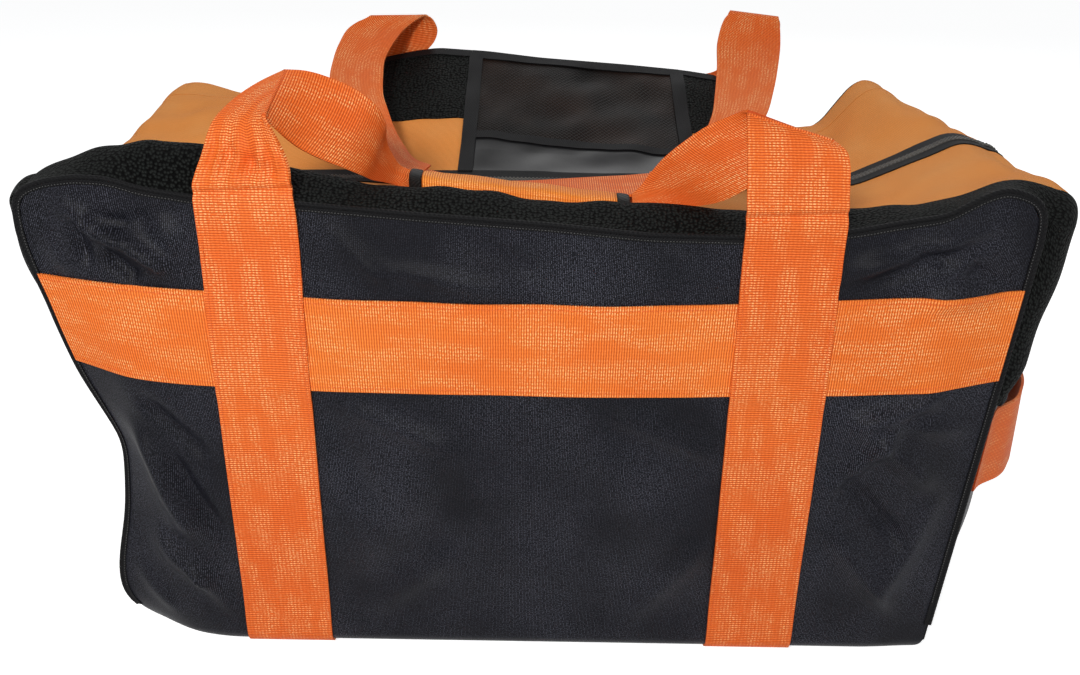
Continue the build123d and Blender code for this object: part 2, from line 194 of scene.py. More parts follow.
def ridge(x, z, start, end, width, height):
    """A soft fold along a straight run: a Gaussian across it that fades out at both ends."""
    a, b = np.array(start, float), np.array(end, float)
    run = b - a
    reach = np.hypot(*run)
    along = ((x - a[0]) * run[0] + (z - a[1]) * run[1]) / reach
    across = ((x - a[0]) * run[1] - (z - a[1]) * run[0]) / reach
    t = along / reach
    fade = np.exp(-np.maximum(0, np.abs(t - 0.5) - 0.25) ** 2 / 0.03)
    return height * np.exp(-((across / width) ** 2)) * fade


def ripple(x, y, seed, size):
    """Slow uneven waves: six sines with seeded directions and phases, about one high."""
    rng = np.random.default_rng(seed)
    total = 0.0
    for _ in range(6):
        angle, phase = rng.uniform(0, np.pi * 2, 2)
        step = size * rng.uniform(0.6, 1.6)
        total = total + np.sin((x * np.cos(angle) + y * np.sin(angle)) * 2 * np.pi / step + phase)
    return total / 3.0


# ---------------------------------------------------------------------------------------------------
# The bag's outer skin
# ---------------------------------------------------------------------------------------------------


def half_length(z):
    """Half the bag's length at a height: the long walls widen evenly from the base to the top."""
    return BASE_HALF + SLOPE * (z - WALL_BASE)


def end_reach(side, y, z):
    """Where an end's surface lies: the panels' half length plus a bulge that dies away at the corners.
    The right end is boxy above and rounder below its handle. The left one is slack below its
    shoulder."""
    share = np.clip((z - WALL_BASE) / (FRONT_HEIGHT - WALL_BASE), 0, 1.1)
    q = np.clip(np.abs(y) / 199.0, 0, 1)
    round_off = np.sqrt(np.clip(1 - q**7, 0, 1))
    belly = soft_line([(0, 13), (50, 29), (100, 45), (150, 53), (200, 46), (240, 40), (440, 38)], z, 12)
    soft = belly * (1 - np.exp((np.abs(y) - 199) / 60)) / (1 - np.exp(-199 / 60))
    upper = np.clip((z - 232) / 50, 0, 1)
    upper = upper * upper * (3 - 2 * upper)
    full = (17 + 29 * share) * round_off * upper + soft * (1 - upper)
    lean = np.clip((z - 262) / 90, 0, 1)
    lean = lean * lean * (3 - 2 * lean)
    slack = (6 + 22 * share) * (1 - lean) * (1 - q**2) + 13 * lean * round_off
    return half_length(z) + np.where(side > 0, full, slack)


# How far the left end sinks in at a height, as (z, amount)
SLUMP = [
    (-5, 34), (8, 28), (20, 20), (35, 12), (50, 8), (64, 7.5), (85, 10.5), (106, 16), (130, 22),
    (152, 25.5), (170, 28), (190, 30), (210, 27), (225, 23.5), (242, 20), (255, 17), (273, 14),
    (290, 12), (307, 10), (330, 8), (352, 5), (370, 3), (385, 2.5), (400, 3), (440, 2),
]


def settle(points):
    """The left end's sag. Past the left strap every point moves in by an amount that depends on its
    height, growing with its distance from the strap to the power 1.5, and fading from front to rear.
    The front corner also sinks back."""
    p = np.array(points, float)
    x, y, z = p[..., 0].copy(), p[..., 1].copy(), p[..., 2]
    s = np.clip((-246 - x) / (half_length(z) - 246), 0, 1.3)
    amount = soft_line(SLUMP, z, 12)
    near = np.clip((200 - y) / 400, 0, 1)
    p[..., 0] = x + amount * s**1.5 * near**1.2
    p[..., 1] = y + np.maximum(amount, 0) * 0.9 * s**2 * near**4
    return p


def top_height(x, y):
    """Height of the top: lines across the bag at six depths, joined smoothly from front to rear."""
    rows = np.stack([soft_line(points, x) for _, points in TOP_ROWS])
    z = hermite([row for row, _ in TOP_ROWS], rows, y, rows=True)
    calm = np.clip((np.abs(y) - 10) / 40, 0, 1) * np.clip((198 - np.abs(y)) / 30, 0, 1)
    return z + calm * (2.2 * ripple(x, y, 3, 120) + 1.2 * ripple(x, y, 8, 50))


def skin(t, y):
    """The skin over the top and down both ends. |t| up to 1 runs along the top, 1 to 2 rounds the edge
    and 2 to 3 runs down the end to the colour seam. y is the place from front to rear."""
    t, y = np.broadcast_arrays(np.asarray(t, float), np.asarray(y, float))
    side = np.where(t < 0, -1.0, 1.0)
    a = np.abs(t)
    radius = 7 + 13 * np.sqrt(np.clip(1 - (np.abs(y) / 200.0) ** 6, 0, 1))
    edge = end_reach(side, y, END_TOP) - radius
    x_top = side * np.minimum(a, 1) * edge
    z_edge = top_height(side * edge, y)
    phi = np.clip(a - 1, 0, 1) * np.pi / 2
    down = np.clip(a - 2, 0, 1)
    z_end = (z_edge - radius) + down * (SEAM_Z - (z_edge - radius))
    z = np.where(a <= 1, top_height(x_top, y), np.where(a <= 2, z_edge - radius * (1 - np.cos(phi)),
                                                        z_end))
    x = np.where(
        a <= 1, x_top, np.where(a <= 2, side * (edge + radius * np.sin(phi)),
                                side * end_reach(side, y, z_end))
    )
    draw_in = side * (end_reach(side, y, z_edge - radius) - (edge + radius)) * np.clip(1 - down * 3, 0,
                                                                                       1)
    x = np.where(a > 2, x - draw_in, x)
    folds = np.where(a > 1.5, END_FOLD * ripple(y, z, 21, 90) * np.clip(a - 1.5, 0, 1), 0)
    return np.stack([x + side * folds, y, z], -1)


def t_at(x, y):
    """The skin parameter of a place on the top."""
    side = np.where(np.asarray(x) < 0, -1.0, 1.0)
    radius = 7 + 13 * np.sqrt(np.clip(1 - (np.abs(y) / 200.0) ** 6, 0, 1))
    return x / (end_reach(side, y, END_TOP) - radius)


def strip_back(x):
    """Rear edge of the front mesh strip: wide and pushed back at the left, narrow at the right."""
    return -161 + 14 * bump(x, -275, 70) - 3 * np.clip(x / 400, 0, 1)


# Folds of the long walls: start and end as (x, z), width, and height, negative for a dent
FRONT_FOLDS = [
    ((-352, 408), (-326, 392), 6.8, 8.7), ((-336, 397), (-297, 376), 6.8, 10.2),
    ((-302, 380), (-268, 356), 6.8, 10.2), ((-333, 396), (-292, 393), 6, -7.2),
    ((-298, 394), (-252, 410), 6.8, -8.7), ((-343, 404), (-332, 357), 6, -6.5),
    ((-320, 371), (-294, 347), 6, -7.2), ((-368, 396), (-350, 350), 10.2, 5.8),
    ((-290, 424), (-258, 372), 7.6, 5.8), ((244, 352), (318, 384), 8.5, 8.7),
    ((300, 378), (376, 408), 11, 11.6), ((262, 388), (330, 372), 6.8, -7.2),
    ((330, 368), (376, 352), 7.6, -7.2), ((300, 340), (372, 350), 7.6, 5.8),
    ((246, 392), (300, 400), 6.8, 5.8), ((-346, 225), (-272, 110), 13.6, 11.6),
    ((-318, 250), (-256, 190), 7.6, -7.2), ((-300, 200), (-250, 110), 6.8, -5.8),
    ((-330, 120), (-262, 60), 9.3, 7.2), ((-290, 90), (-250, 30), 6.8, 5.8),
    ((-350, 90), (-310, 30), 7.6, 5.8), ((306, 60), (356, 190), 13.6, 8.0),
    ((250, 250), (352, 170), 10.2, 8.7), ((245, 205), (330, 110), 7.6, -7.2),
    ((252, 140), (330, 40), 8.5, 7.2), ((270, 244), (368, 228), 6.8, 5.1),
    ((-150, 80), (-40, 240), 18.7, 5.1), ((40, 240), (165, 60), 22.1, 4.3),
    ((-160, 240), (-124, 140), 8.5, -5.1), ((100, 384), (165, 346), 6.8, 5.8),
    ((-158, 402), (-100, 345), 7.6, 5.8), ((-70, 398), (20, 356), 8.5, -4.3),
    ((60, 392), (108, 340), 7.6, 4.3), ((-110, 362), (0, 340), 6.8, 3.6),
    ((60, 248), (160, 200), 7.6, 5.1), ((-150, 248), (-60, 208), 7.6, 4.3),
    ((-140, 30), (-60, 110), 11.9, 4.3), ((90, 30), (160, 130), 11.9, 4.3),
    ((236, 346), (372, 404), 7.6, -11.6), ((240, 362), (330, 402), 8.5, 11.6),
    ((262, 238), (330, 262), 6.8, 7.2), ((250, 168), (300, 240), 6.8, 7.2),
]


def wall_out(side, x, z, top):
    """How far a long wall stands out past its plane: a gentle belly held in at the edges and by the
    straps, with soft folds towards the corners."""
    share = np.clip((z - WALL_BASE) / (top - WALL_BASE), 0, 1)
    rim = np.clip((half_length(z) - np.abs(x)) / 60, 0, 1)
    rim = rim * rim * (3 - 2 * rim)
    upright = np.clip(share * 7, 0, 1) * np.clip((1 - share) * 9, 0, 1)
    held = np.clip(1 - bump(x, LEFT_STRAP_X, 55) - bump(x, RIGHT_STRAP_X, 55), 0, 1)
    belly = 6.0 * np.sin(np.pi * share) * rim * (0.35 + 0.65 * held)
    folds = 0.0
    for start, end, width, height in FRONT_FOLDS:
        folds = folds + ridge(side * -x if side > 0 else x, z, start, end, width, height)
    waves = 1.6 * ripple(x, z, 5 if side < 0 else 6, 150) + 0.7 * ripple(x, z, 11, 60)
    toe = 3.5 * np.exp(-((z - 12) / 26) ** 2) * rim
    folds = folds * round(bpy.context.scene.bag_sizes.fold_depth, 4)
    return belly + toe + (folds + waves * 0.8) * rim * upright * (0.25 + 0.75 * held)


def wall_top(side, x):
    """Height of a long wall's top edge."""
    return soft_line(FRONT_TOP_LINE if side < 0 else REAR_TOP_LINE, x)


def wall_surface(side, fraction, v):
    """A long wall from the underside (v = 0) round the bottom corner (v = 0.15) up to its top edge
    (v = 1). fraction runs from -1 at the left edge to 1 at the right edge."""
    phi = np.clip(v / 0.15, 0, 1) * np.pi / 2
    rise = np.clip((v - 0.15) / 0.85, 0, 1)
    guess = fraction * TOP_HALF
    top = wall_top(side, guess) - 1.0
    z = np.where(v <= 0.15, WALL_BASE - CORNER_RADIUS * np.cos(phi),
                 WALL_BASE + rise * (top - WALL_BASE))
    low = np.clip((WALL_BASE - z) / CORNER_RADIUS, 0, 1)
    half = half_length(z) - CORNER_RADIUS * (1 - np.sqrt(1 - low**2)) - 2.0
    x = fraction * half
    y = np.where(v <= 0.15, HALF_DEPTH - CORNER_RADIUS + CORNER_RADIUS * np.sin(phi), HALF_DEPTH)
    y = y + wall_out(side, x, z, top)
    return np.stack([x, side * y, z], -1)


# ---------------------------------------------------------------------------------------------------
# Meshes
# ---------------------------------------------------------------------------------------------------


def put_mesh(name, verts, faces, uv=None, sharp=None):
    """A mesh object from arrays in millimetres. uv is per vertex, in metres. sharp marks the vertices
    of rims: an edge between two rim vertices of the same side is a hard edge."""
    mesh = bpy.data.meshes.new(name)
    mesh.from_pydata((np.asarray(verts) * 0.001).tolist(), [],
                     faces if isinstance(faces, list) else faces.tolist())
    mesh.polygons.foreach_set("use_smooth", np.ones(len(mesh.polygons), bool))
    if uv is not None:
        layer = mesh.uv_layers.new(name="UVMap")
        loops = np.zeros(len(mesh.loops), np.int32)
        mesh.loops.foreach_get("vertex_index", loops)
        layer.data.foreach_set("uv", np.asarray(uv, np.float32)[loops].ravel())
    if sharp is not None:
        pairs = np.zeros(len(mesh.edges) * 2, np.int32)
        mesh.edges.foreach_get("vertices", pairs)
        first, second = sharp[pairs.reshape(-1, 2)].T
        hard = mesh.attributes.new("sharp_edge", "BOOLEAN", "EDGE")
        hard.data.foreach_set("value", (first > 0) & (first == second))
    mesh.validate()
    mesh.update()
    piece = bpy.data.objects.new(name, mesh)
    bpy.context.scene.collection.objects.link(piece)
    return piece


def ring_faces(rings, sides):
    """Quads between rings of vertices, and one face that closes each end."""
    r, s = np.meshgrid(np.arange(rings - 1), np.arange(sides), indexing="ij")
    a = (r * sides + s).ravel()
    b = (r * sides + (s + 1) % sides).ravel()
    faces = np.stack([a, b, b + sides, a + sides], 1).tolist()
    last = (rings - 1) * sides
    return faces + [list(range(sides))[::-1], [last + k for k in range(sides)]]


def run_along(line):
    """Distance from the start of a line to each of its points."""
    return np.concatenate([[0], np.cumsum(np.linalg.norm(np.diff(line, axis=0), axis=1))])


def grid_faces(rows, columns, start=0, flip=False):
    """Quads of a grid of vertices laid row by row."""
    r, c = np.meshgrid(np.arange(rows - 1), np.arange(columns - 1), indexing="ij")
    a = start + (r * columns + c).ravel()
    quads = np.stack([a, a + columns, a + columns + 1, a + 1], 1)
    return quads[:, ::-1] if flip else quads


def normals_of(grid):
    """Unit normals of a grid: the cross product of its two directions."""
    du = np.gradient(grid, axis=0)
    dv = np.gradient(grid, axis=1)
    n = np.cross(du, dv)
    return n / np.maximum(np.linalg.norm(n, axis=-1, keepdims=True), 1e-9)


def lengths_uv(grid, columns_apart=False, rows_apart=False):
    """UV in metres: distance along each direction of the grid, measured on its middle lines. With
    columns_apart, the first is measured on every line by itself, as on a strap whose edges differ;
    rows_apart does the same for the second."""
    rows, columns = grid.shape[:2]
    across = np.linalg.norm(np.diff(grid[rows // 2], axis=0), axis=1)
    v = np.concatenate([[0], np.cumsum(across)]) * 0.001
    steps = np.linalg.norm(np.diff(grid, axis=0), axis=2)
    if not columns_apart:
        steps = np.repeat(steps[:, columns // 2][:, None], columns, 1)
    u = np.concatenate([np.zeros((1, columns)), np.cumsum(steps, 0)]) * 0.001
    if rows_apart:
        across = np.linalg.norm(np.diff(grid, axis=1), axis=2)
        v = np.concatenate([np.zeros((rows, 1)), np.cumsum(across, 1)], 1) * 0.001
    return np.stack([u, np.broadcast_to(v, u.shape)], -1)


def cloth(name, grid, thickness, out, lift=0.0, columns_apart=False, rows_apart=False):
    """A closed sheet: the grid moved out by lift, its copy one thickness further in, and a rim between.
    out is a rough outward direction at the middle of the grid."""
    grid = settle(grid)
    n = normals_of(grid)
    rows, columns = grid.shape[:2]
    turn = float(np.sum(n[rows // 2, columns // 2] * np.asarray(out, float))) < 0
    if turn:
        n = -n
    outer = grid + n * lift
    inner = outer - n * thickness
    verts = np.concatenate([outer.reshape(-1, 3), inner.reshape(-1, 3)])
    count = rows * columns
    faces = [grid_faces(rows, columns, 0, turn), grid_faces(rows, columns, count, not turn)]
    index = np.arange(count).reshape(rows, columns)
    loop = np.concatenate([index[:-1, 0], index[-1, :-1], index[:0:-1, -1], index[0, :0:-1]])
    after = np.roll(loop, -1)
    rim = np.stack([loop, loop + count, after + count, after], 1)
    faces.append(rim if turn else rim[:, ::-1])
    sharp = np.zeros(2 * count, np.int8)
    sharp[loop] = 1
    sharp[loop + count] = 2
    uv = lengths_uv(grid, columns_apart, rows_apart).reshape(-1, 2)
    return put_mesh(name, verts, np.concatenate(faces), np.concatenate([uv, uv]), sharp)


def tube(name, line, radius, sides=10):
    """A round cord along a line: rings in frames carried along it, closed by a fan at each end."""
    line = settle(line)
    ahead = np.gradient(line, axis=0)
    ahead /= np.linalg.norm(ahead, axis=1, keepdims=True)
    up = np.tile([0.0, 0.13, 1.0], (len(line), 1))
    level = np.abs(ahead[:, 2]) > 0.8
    up[level] = [0.0, 1.0, 0.1]
    across = np.cross(ahead, up)
    across /= np.linalg.norm(across, axis=1, keepdims=True)
    above = np.cross(across, ahead)
    turn = np.linspace(0, 2 * np.pi, sides, endpoint=False)
    ring = np.cos(turn)[None, :, None] * across[:, None] + np.sin(turn)[None, :, None] * above[:, None]
    verts = (line[:, None] + ring * radius).reshape(-1, 3)
    uv = np.stack(np.meshgrid(run_along(line) * 0.001, turn * radius * 0.001, indexing="ij"), -1)
    piece = put_mesh(name, verts, ring_faces(len(line), sides), uv.reshape(-1, 2))
    face_outwards(piece)
    return piece


def face_outwards(piece):
    """Turn every face of a closed mesh outwards."""
    work = bmesh.new()
    work.from_mesh(piece.data)
    bmesh.ops.recalc_face_normals(work, faces=work.faces)
    work.to_mesh(piece.data)
    work.free()


def stitches(name, lines, pitch=None, bead=None, radius=0.32):
    """Rows of thread: each stitch is a small five-sided bead stretched along its line. The panel gives
    the pitch and the bead's length, unless a finer seam has its own."""
    pitch = pitch or length("stitch_pitch")
    bead = bead or length("stitch_length")
    centres, aheads, ups = [], [], []
    for line, up in lines:
        line = settle(line)
        run = run_along(line)
        at = np.arange(pitch / 2, run[-1], pitch)
        place = np.stack([np.interp(at, run, line[:, k]) for k in range(3)], -1)
        ahead = np.stack([np.interp(at + 0.5, run, line[:, k]) for k in range(3)], -1) - place
        centres.append(place)
        aheads.append(ahead / np.maximum(np.linalg.norm(ahead, axis=1, keepdims=True), 1e-9))
        ups.append(np.broadcast_to(np.asarray(up, float), place.shape))
    c, a, u = (np.concatenate(part) for part in (centres, aheads, ups))
    side = np.cross(a, u)
    side /= np.maximum(np.linalg.norm(side, axis=1, keepdims=True), 1e-9)
    u = np.cross(side, a)
    stations = np.array([-1.0, -0.55, 0.55, 1.0]) * bead / 2
    widths = np.array([0.25, 1.0, 1.0, 0.25]) * radius
    turn = np.arange(5) * 2 * np.pi / 5
    local = (
        a[:, None, None] * stations[None, :, None, None]
        + side[:, None, None] * (widths[:, None] * np.cos(turn))[None, ..., None]
        + u[:, None, None] * (widths[:, None] * np.sin(turn))[None, ..., None]
    )
    verts = (c[:, None, None] + local).reshape(-1, 3)
    ring = np.arange(5)
    faces = []
    for k in range(3):
        low, high = k * 5 + ring, (k + 1) * 5 + ring
        faces.append(np.stack([low, np.roll(low, -1), np.roll(high, -1), high], 1))
    body = np.concatenate(faces)
    every = (np.arange(len(c))[:, None, None] * 20 + body[None]).reshape(-1, 4)
    caps = np.arange(len(c))[:, None] * 20
    all_faces = every.tolist() + (caps + ring[::-1]).tolist() + (caps + 15 + ring).tolist()
    piece = put_mesh(name, verts, all_faces)
    face_outwards(piece)
    return piece


def webbing_grid(first_edge, second_edge, count):
    """A strap's face between two smooth edges given by matching points, straight across."""
    a, b = pair_flow(first_edge, second_edge, count)
    w = np.linspace(0, 1, 15)[None, :, None]
    return a[:, None] * (1 - w) + b[:, None] * w


# ---------------------------------------------------------------------------------------------------
# Materials
# ---------------------------------------------------------------------------------------------------


def start_material(name):
    """The material of that name. If it is new, its node tree and shader come with it."""
    material = bpy.data.materials.get(name)
    if material:
        return material, None, None
    material = bpy.data.materials.new(name)
    material.use_nodes = True
    tree = material.node_tree
    return material, tree, tree.nodes["Principled BSDF"]


def add_node(tree, kind, links=(), **values):
    """A node with its inputs set by name and linked from (input, output socket) pairs."""
    node = tree.nodes.new(kind)
    for key, value in values.items():
        if hasattr(node, key) and key not in node.inputs:
            setattr(node, key, value)
        else:
            node.inputs[key.replace("_", " ")].default_value = value
    for key, socket in links:
        tree.links.new(socket, node.inputs[key])
    return node


def surface_coordinates(tree, own_uv):
    """The piece's own UV, in metres along and across it, or its object coordinates."""
    if own_uv:
        return add_node(tree, "ShaderNodeUVMap", uv_map="UVMap").outputs["UV"]
    return add_node(tree, "ShaderNodeTexCoord").outputs["Object"]


def bands(tree, place, direction, pitch, distortion=0.0):
    """Parallel ribs with the given pitch in metres: the wave's period is pi / 10 over its scale."""
    node = add_node(
        tree, "ShaderNodeTexWave", [("Vector", place)], Scale=np.pi / 10 / pitch, Distortion=distortion,
        wave_type="BANDS", bands_direction=direction, wave_profile="SIN",
    )
    node.inputs["Detail"].default_value = 1.0
    node.inputs["Detail Scale"].default_value = 1.5
    return node.outputs["Fac"]


def noise(tree, place, scale, detail=3.0):
    """Fractal noise between 0 and 1."""
    node = add_node(tree, "ShaderNodeTexNoise", [("Vector", place)], Scale=scale, Detail=detail)
    return node.outputs["Fac"]


def combine(tree, operation, a, b):
    """One arithmetic step on two values, each a number or a socket."""
    node = tree.nodes.new("ShaderNodeMath")
    node.operation = operation
    for socket, value in zip(node.inputs, (a, b)):
        if isinstance(value, (int, float)):
            socket.default_value = value
        else:
            tree.links.new(value, socket)
    return node.outputs[0]


def blend_colours(tree, factor, first, second):
    """A mix of two colours, each a list or a socket."""
    node = tree.nodes.new("ShaderNodeMix")
    node.data_type = "RGBA"
    tree.links.new(factor, node.inputs["Factor"])
    for socket, value in ((node.inputs[6], first), (node.inputs[7], second)):
        if hasattr(value, "is_output"):
            tree.links.new(value, socket)
        else:
            socket.default_value = (*value[:3], 1.0)
    return node.outputs[2]


def ramp(tree, factor, low, high):
    """A value stretched so that low becomes 0 and high becomes 1."""
    node = tree.nodes.new("ShaderNodeMapRange")
    tree.links.new(factor, node.inputs["Value"])
    node.inputs["From Min"].default_value = low
    node.inputs["From Max"].default_value = high
    return node.outputs["Result"]


def relief(tree, shader, height, strength, distance):
    """Bump from a height; distance is in metres."""
    node = add_node(tree, "ShaderNodeBump", [("Height", height)], Strength=strength, Distance=distance)
    tree.links.new(node.outputs["Normal"], shader.inputs["Normal"])


def webbing_finish(name, colour, painted_glint_colour):
    """Ribbed synthetic webbing: fine cross ribs broken into short floats by lengthwise columns. Painted
    glints: floats painted bright in patches drawn out along the ribs, standing in for light they catch.
    A painted sheen makes the rib crests yellower in slow patches."""
    material, tree, shader = start_material(name)
    if tree is None:
        return material
    uv = surface_coordinates(tree, True)
    ribs = bands(tree, uv, "X", 0.0020, 0.8)
    columns = bands(tree, uv, "Y", 0.0030, 1.4)
    grain = noise(tree, uv, 640.0, 3.0)
    stretched = add_node(tree, "ShaderNodeMapping", [("Vector", uv)], Scale=(22.0, 70.0, 1.0))
    patches = noise(tree, stretched.outputs[0], 1.0, 3.0)
    slow = noise(tree, uv, 7.0, 2.0)
    loose = combine(tree, "ADD", combine(tree, "MULTIPLY", columns, 0.6),
                    combine(tree, "MULTIPLY", grain, 0.6))
    weave = combine(tree, "ADD", combine(tree, "MULTIPLY", ribs, 0.8),
                    combine(tree, "MULTIPLY", loose, 0.22))
    # Painted glints: floats painted bright where ribs and columns stand high, only in the lit patches.
    painted_glint = combine(tree, "MULTIPLY", ramp(tree, ribs, 0.35, 0.95), ramp(tree, loose, 0.3, 0.75))
    painted_glint = combine(tree, "MULTIPLY", painted_glint, ramp(tree, grain, 0.38, 0.6))
    lit = combine(tree, "ADD", ramp(tree, patches, 0.42, 0.6), 0.15)
    painted_glint = combine(tree, "MULTIPLY", painted_glint, lit)
    shade = blend_colours(tree, ramp(tree, weave, 0.1, 0.75),
                          [colour[0] * 0.6, colour[1] * 0.4, colour[2] * 0.36], colour)
    # Painted sheen: the rib crests are painted yellower and lighter in slow patches.
    sheen_toned = blend_colours(tree, ramp(tree, slow, 0.35, 0.7), shade, blend_colours(tree, ribs, shade, [
        colour[0] * 1.04, colour[1] * 1.35, colour[2] * 1.6]))
    base = blend_colours(tree, combine(tree, "MINIMUM", painted_glint, 0.95), sheen_toned, painted_glint_colour)
    tree.links.new(base, shader.inputs["Base Color"])
    shader.inputs["Roughness"].default_value = 0.6
    shader.inputs["Specular IOR Level"].default_value = 0.18
    relief(tree, shader, weave, 0.5, 0.0006)
    return material


def plain_weave_finish(name, colour, pale, pitch, roughness=0.75, spec=0.15, slub=0.5, strength=0.5,
                       glint_thread_colour=None):
    """Woven cloth: two crossing sets of threads, slow colour change and slubs. The last colour, when
    given, is painted glints: single threads painted bright in slow patches, a painted highlight
    standing in for light they catch."""
    material, tree, shader = start_material(name)
    if tree is None:
        return material
    uv = surface_coordinates(tree, True)
    warp = bands(tree, uv, "X", pitch, slub)
    weft = bands(tree, uv, "Y", pitch, slub)
    weave = combine(tree, "MULTIPLY", combine(tree, "ADD", warp, weft), 0.5)
    slow = noise(tree, uv, 14.0, 4.0)
    fine = noise(tree, uv, 420.0, 2.0)
    mixed = combine(tree, "ADD", combine(tree, "MULTIPLY", slow, 0.7),
                    combine(tree, "MULTIPLY", fine, 0.3))
    tone = blend_colours(tree, ramp(tree, mixed, 0.3, 0.72), colour, pale)
    base = blend_colours(tree, ramp(tree, weave, 0.1, 0.75), [c * 0.55 for c in colour], tone)
    if glint_thread_colour:
        # Painted glints: single warp threads painted bright, more of them in slow patches.
        grain = noise(tree, uv, 900.0, 1.0)
        thread_glints = combine(tree, "MULTIPLY", ramp(tree, warp, 0.45, 0.9), ramp(tree, grain, 0.42, 0.62))
        patch = combine(tree, "ADD", ramp(tree, noise(tree, uv, 9.0, 3.0), 0.34, 0.66), 0.25)
        thread_glints = combine(tree, "MULTIPLY", thread_glints, patch)
        base = blend_colours(tree, thread_glints, base, glint_thread_colour)
    tree.links.new(base, shader.inputs["Base Color"])
    shader.inputs["Roughness"].default_value = roughness
    shader.inputs["Specular IOR Level"].default_value = spec
    relief(tree, shader, weave, strength, 0.0004)
    return material


def knit_mesh_finish(name, colour, bright):
    """Knobbly spacer mesh: rounded cells about three millimetres apart with dark pits between, the knob
    tops painted lighter as a painted highlight.
    """
    material, tree, shader = start_material(name)
    if tree is None:
        return material
    uv = surface_coordinates(tree, True)
    cells = add_node(tree, "ShaderNodeTexVoronoi", [("Vector", uv)], Scale=330.0, Randomness=0.75)
    cells.voronoi_dimensions = "2D"
    knob = combine(tree, "SUBTRACT", 1.0, ramp(tree, cells.outputs["Distance"], 0.15, 0.7))
    fine = noise(tree, uv, 1500.0, 2.0)
    height = combine(tree, "ADD", knob, combine(tree, "MULTIPLY", fine, 0.25))
    # Painted highlight: the knob tops are painted lighter.
    tree.links.new(blend_colours(tree, ramp(tree, knob, 0.3, 1.0), colour, bright),
                   shader.inputs["Base Color"])
    shader.inputs["Roughness"].default_value = 0.7
    shader.inputs["Specular IOR Level"].default_value = 0.05
    relief(tree, shader, height, 1.0, 0.0018)
    return material


def ribbed_tape_finish(name, colour, pitch=0.0011, roughness=0.6):
    """Narrow woven tape: ribs across its length, with a thread-like edge."""
    material, tree, shader = start_material(name)
    if tree is None:
        return material
    uv = surface_coordinates(tree, True)
    ribs = bands(tree, uv, "DIAGONAL", pitch, 0.6)
    fine = noise(tree, uv, 700.0, 2.0)
    tone = blend_colours(tree, ramp(tree, combine(tree, "MULTIPLY", ribs, fine), 0.0, 0.6), colour,
                         [c * 1.7 + 0.002 for c in colour])
    tree.links.new(tone, shader.inputs["Base Color"])
    shader.inputs["Roughness"].default_value = roughness
    shader.inputs["Specular IOR Level"].default_value = 0.08
    relief(tree, shader, ribs, 0.6, 0.0005)
    return material


def diamond_vinyl_finish(name, colour, bright):
    """Vinyl pressed with a fine diamond grid: two crossing diagonal ridges over a glossy base."""
    material, tree, shader = start_material(name)
    if tree is None:
        return material
    uv = surface_coordinates(tree, True)
    turned = add_node(tree, "ShaderNodeMapping", [("Vector", uv)], Rotation=(0, 0, np.radians(42.0)))
    one = bands(tree, turned.outputs[0], "X", 0.0034, 0.0)
    two = bands(tree, turned.outputs[0], "Y", 0.0034, 0.0)
    grid = combine(tree, "MAXIMUM", ramp(tree, one, 0.72, 1.0), ramp(tree, two, 0.72, 1.0))
    slow = noise(tree, uv, 11.0, 3.0)
    tone = blend_colours(tree, ramp(tree, slow, 0.36, 0.66), colour, bright)
    base = blend_colours(tree, combine(tree, "MULTIPLY", grid, 0.8), tone, [c * 0.3 for c in colour])
    tree.links.new(base, shader.inputs["Base Color"])
    shader.inputs["Roughness"].default_value = 0.36
    shader.inputs["Specular IOR Level"].default_value = 0.035
    lumps = combine(tree, "ADD", combine(tree, "MULTIPLY", grid, -0.6),
                    combine(tree, "MULTIPLY", slow, 1.4))
    relief(tree, shader, lumps, 0.6, 0.0012)
    return material


def smooth_vinyl_finish(name, colour, bright, roughness=0.32):
    """Smooth vinyl or moulded plastic with slow dents and a faint grain."""
    material, tree, shader = start_material(name)
    if tree is None:
        return material
    uv = surface_coordinates(tree, True)
    slow = noise(tree, uv, 12.0, 3.0)
    fine = noise(tree, uv, 1600.0, 2.0)
    tree.links.new(blend_colours(tree, ramp(tree, slow, 0.3, 0.7), colour, bright),
                   shader.inputs["Base Color"])
    shader.inputs["Roughness"].default_value = roughness
    shader.inputs["Specular IOR Level"].default_value = 0.12
    relief(tree, shader, combine(tree, "ADD", combine(tree, "MULTIPLY", slow, 1.5),
                                 combine(tree, "MULTIPLY", fine, 0.08)), 0.35, 0.0016)
    return material


def lacquer_finish(name, colour):
    """Black lacquer over cast metal, slightly uneven."""
    material, tree, shader = start_material(name)
    if tree is None:
        return material
    place = surface_coordinates(tree, False)
    wear = noise(tree, place, 260.0, 4.0)
    base = blend_colours(tree, ramp(tree, wear, 0.62, 0.8), colour, [0.22, 0.2, 0.18])
    tree.links.new(base, shader.inputs["Base Color"])
    shader.inputs["Metallic"].default_value = 0.35
    shader.inputs["Roughness"].default_value = 0.35
    relief(tree, shader, wear, 0.2, 0.0002)
    return material


def thread_finish(name, colour):
    """Sewing thread: fine fuzz in two tones."""
    material, tree, shader = start_material(name)
    if tree is None:
        return material
    place = surface_coordinates(tree, False)
    fuzz = noise(tree, place, 2400.0, 2.0)
    tree.links.new(blend_colours(tree, fuzz, [c * 0.6 for c in colour], colour),
                   shader.inputs["Base Color"])
    shader.inputs["Roughness"].default_value = 0.55
    return material


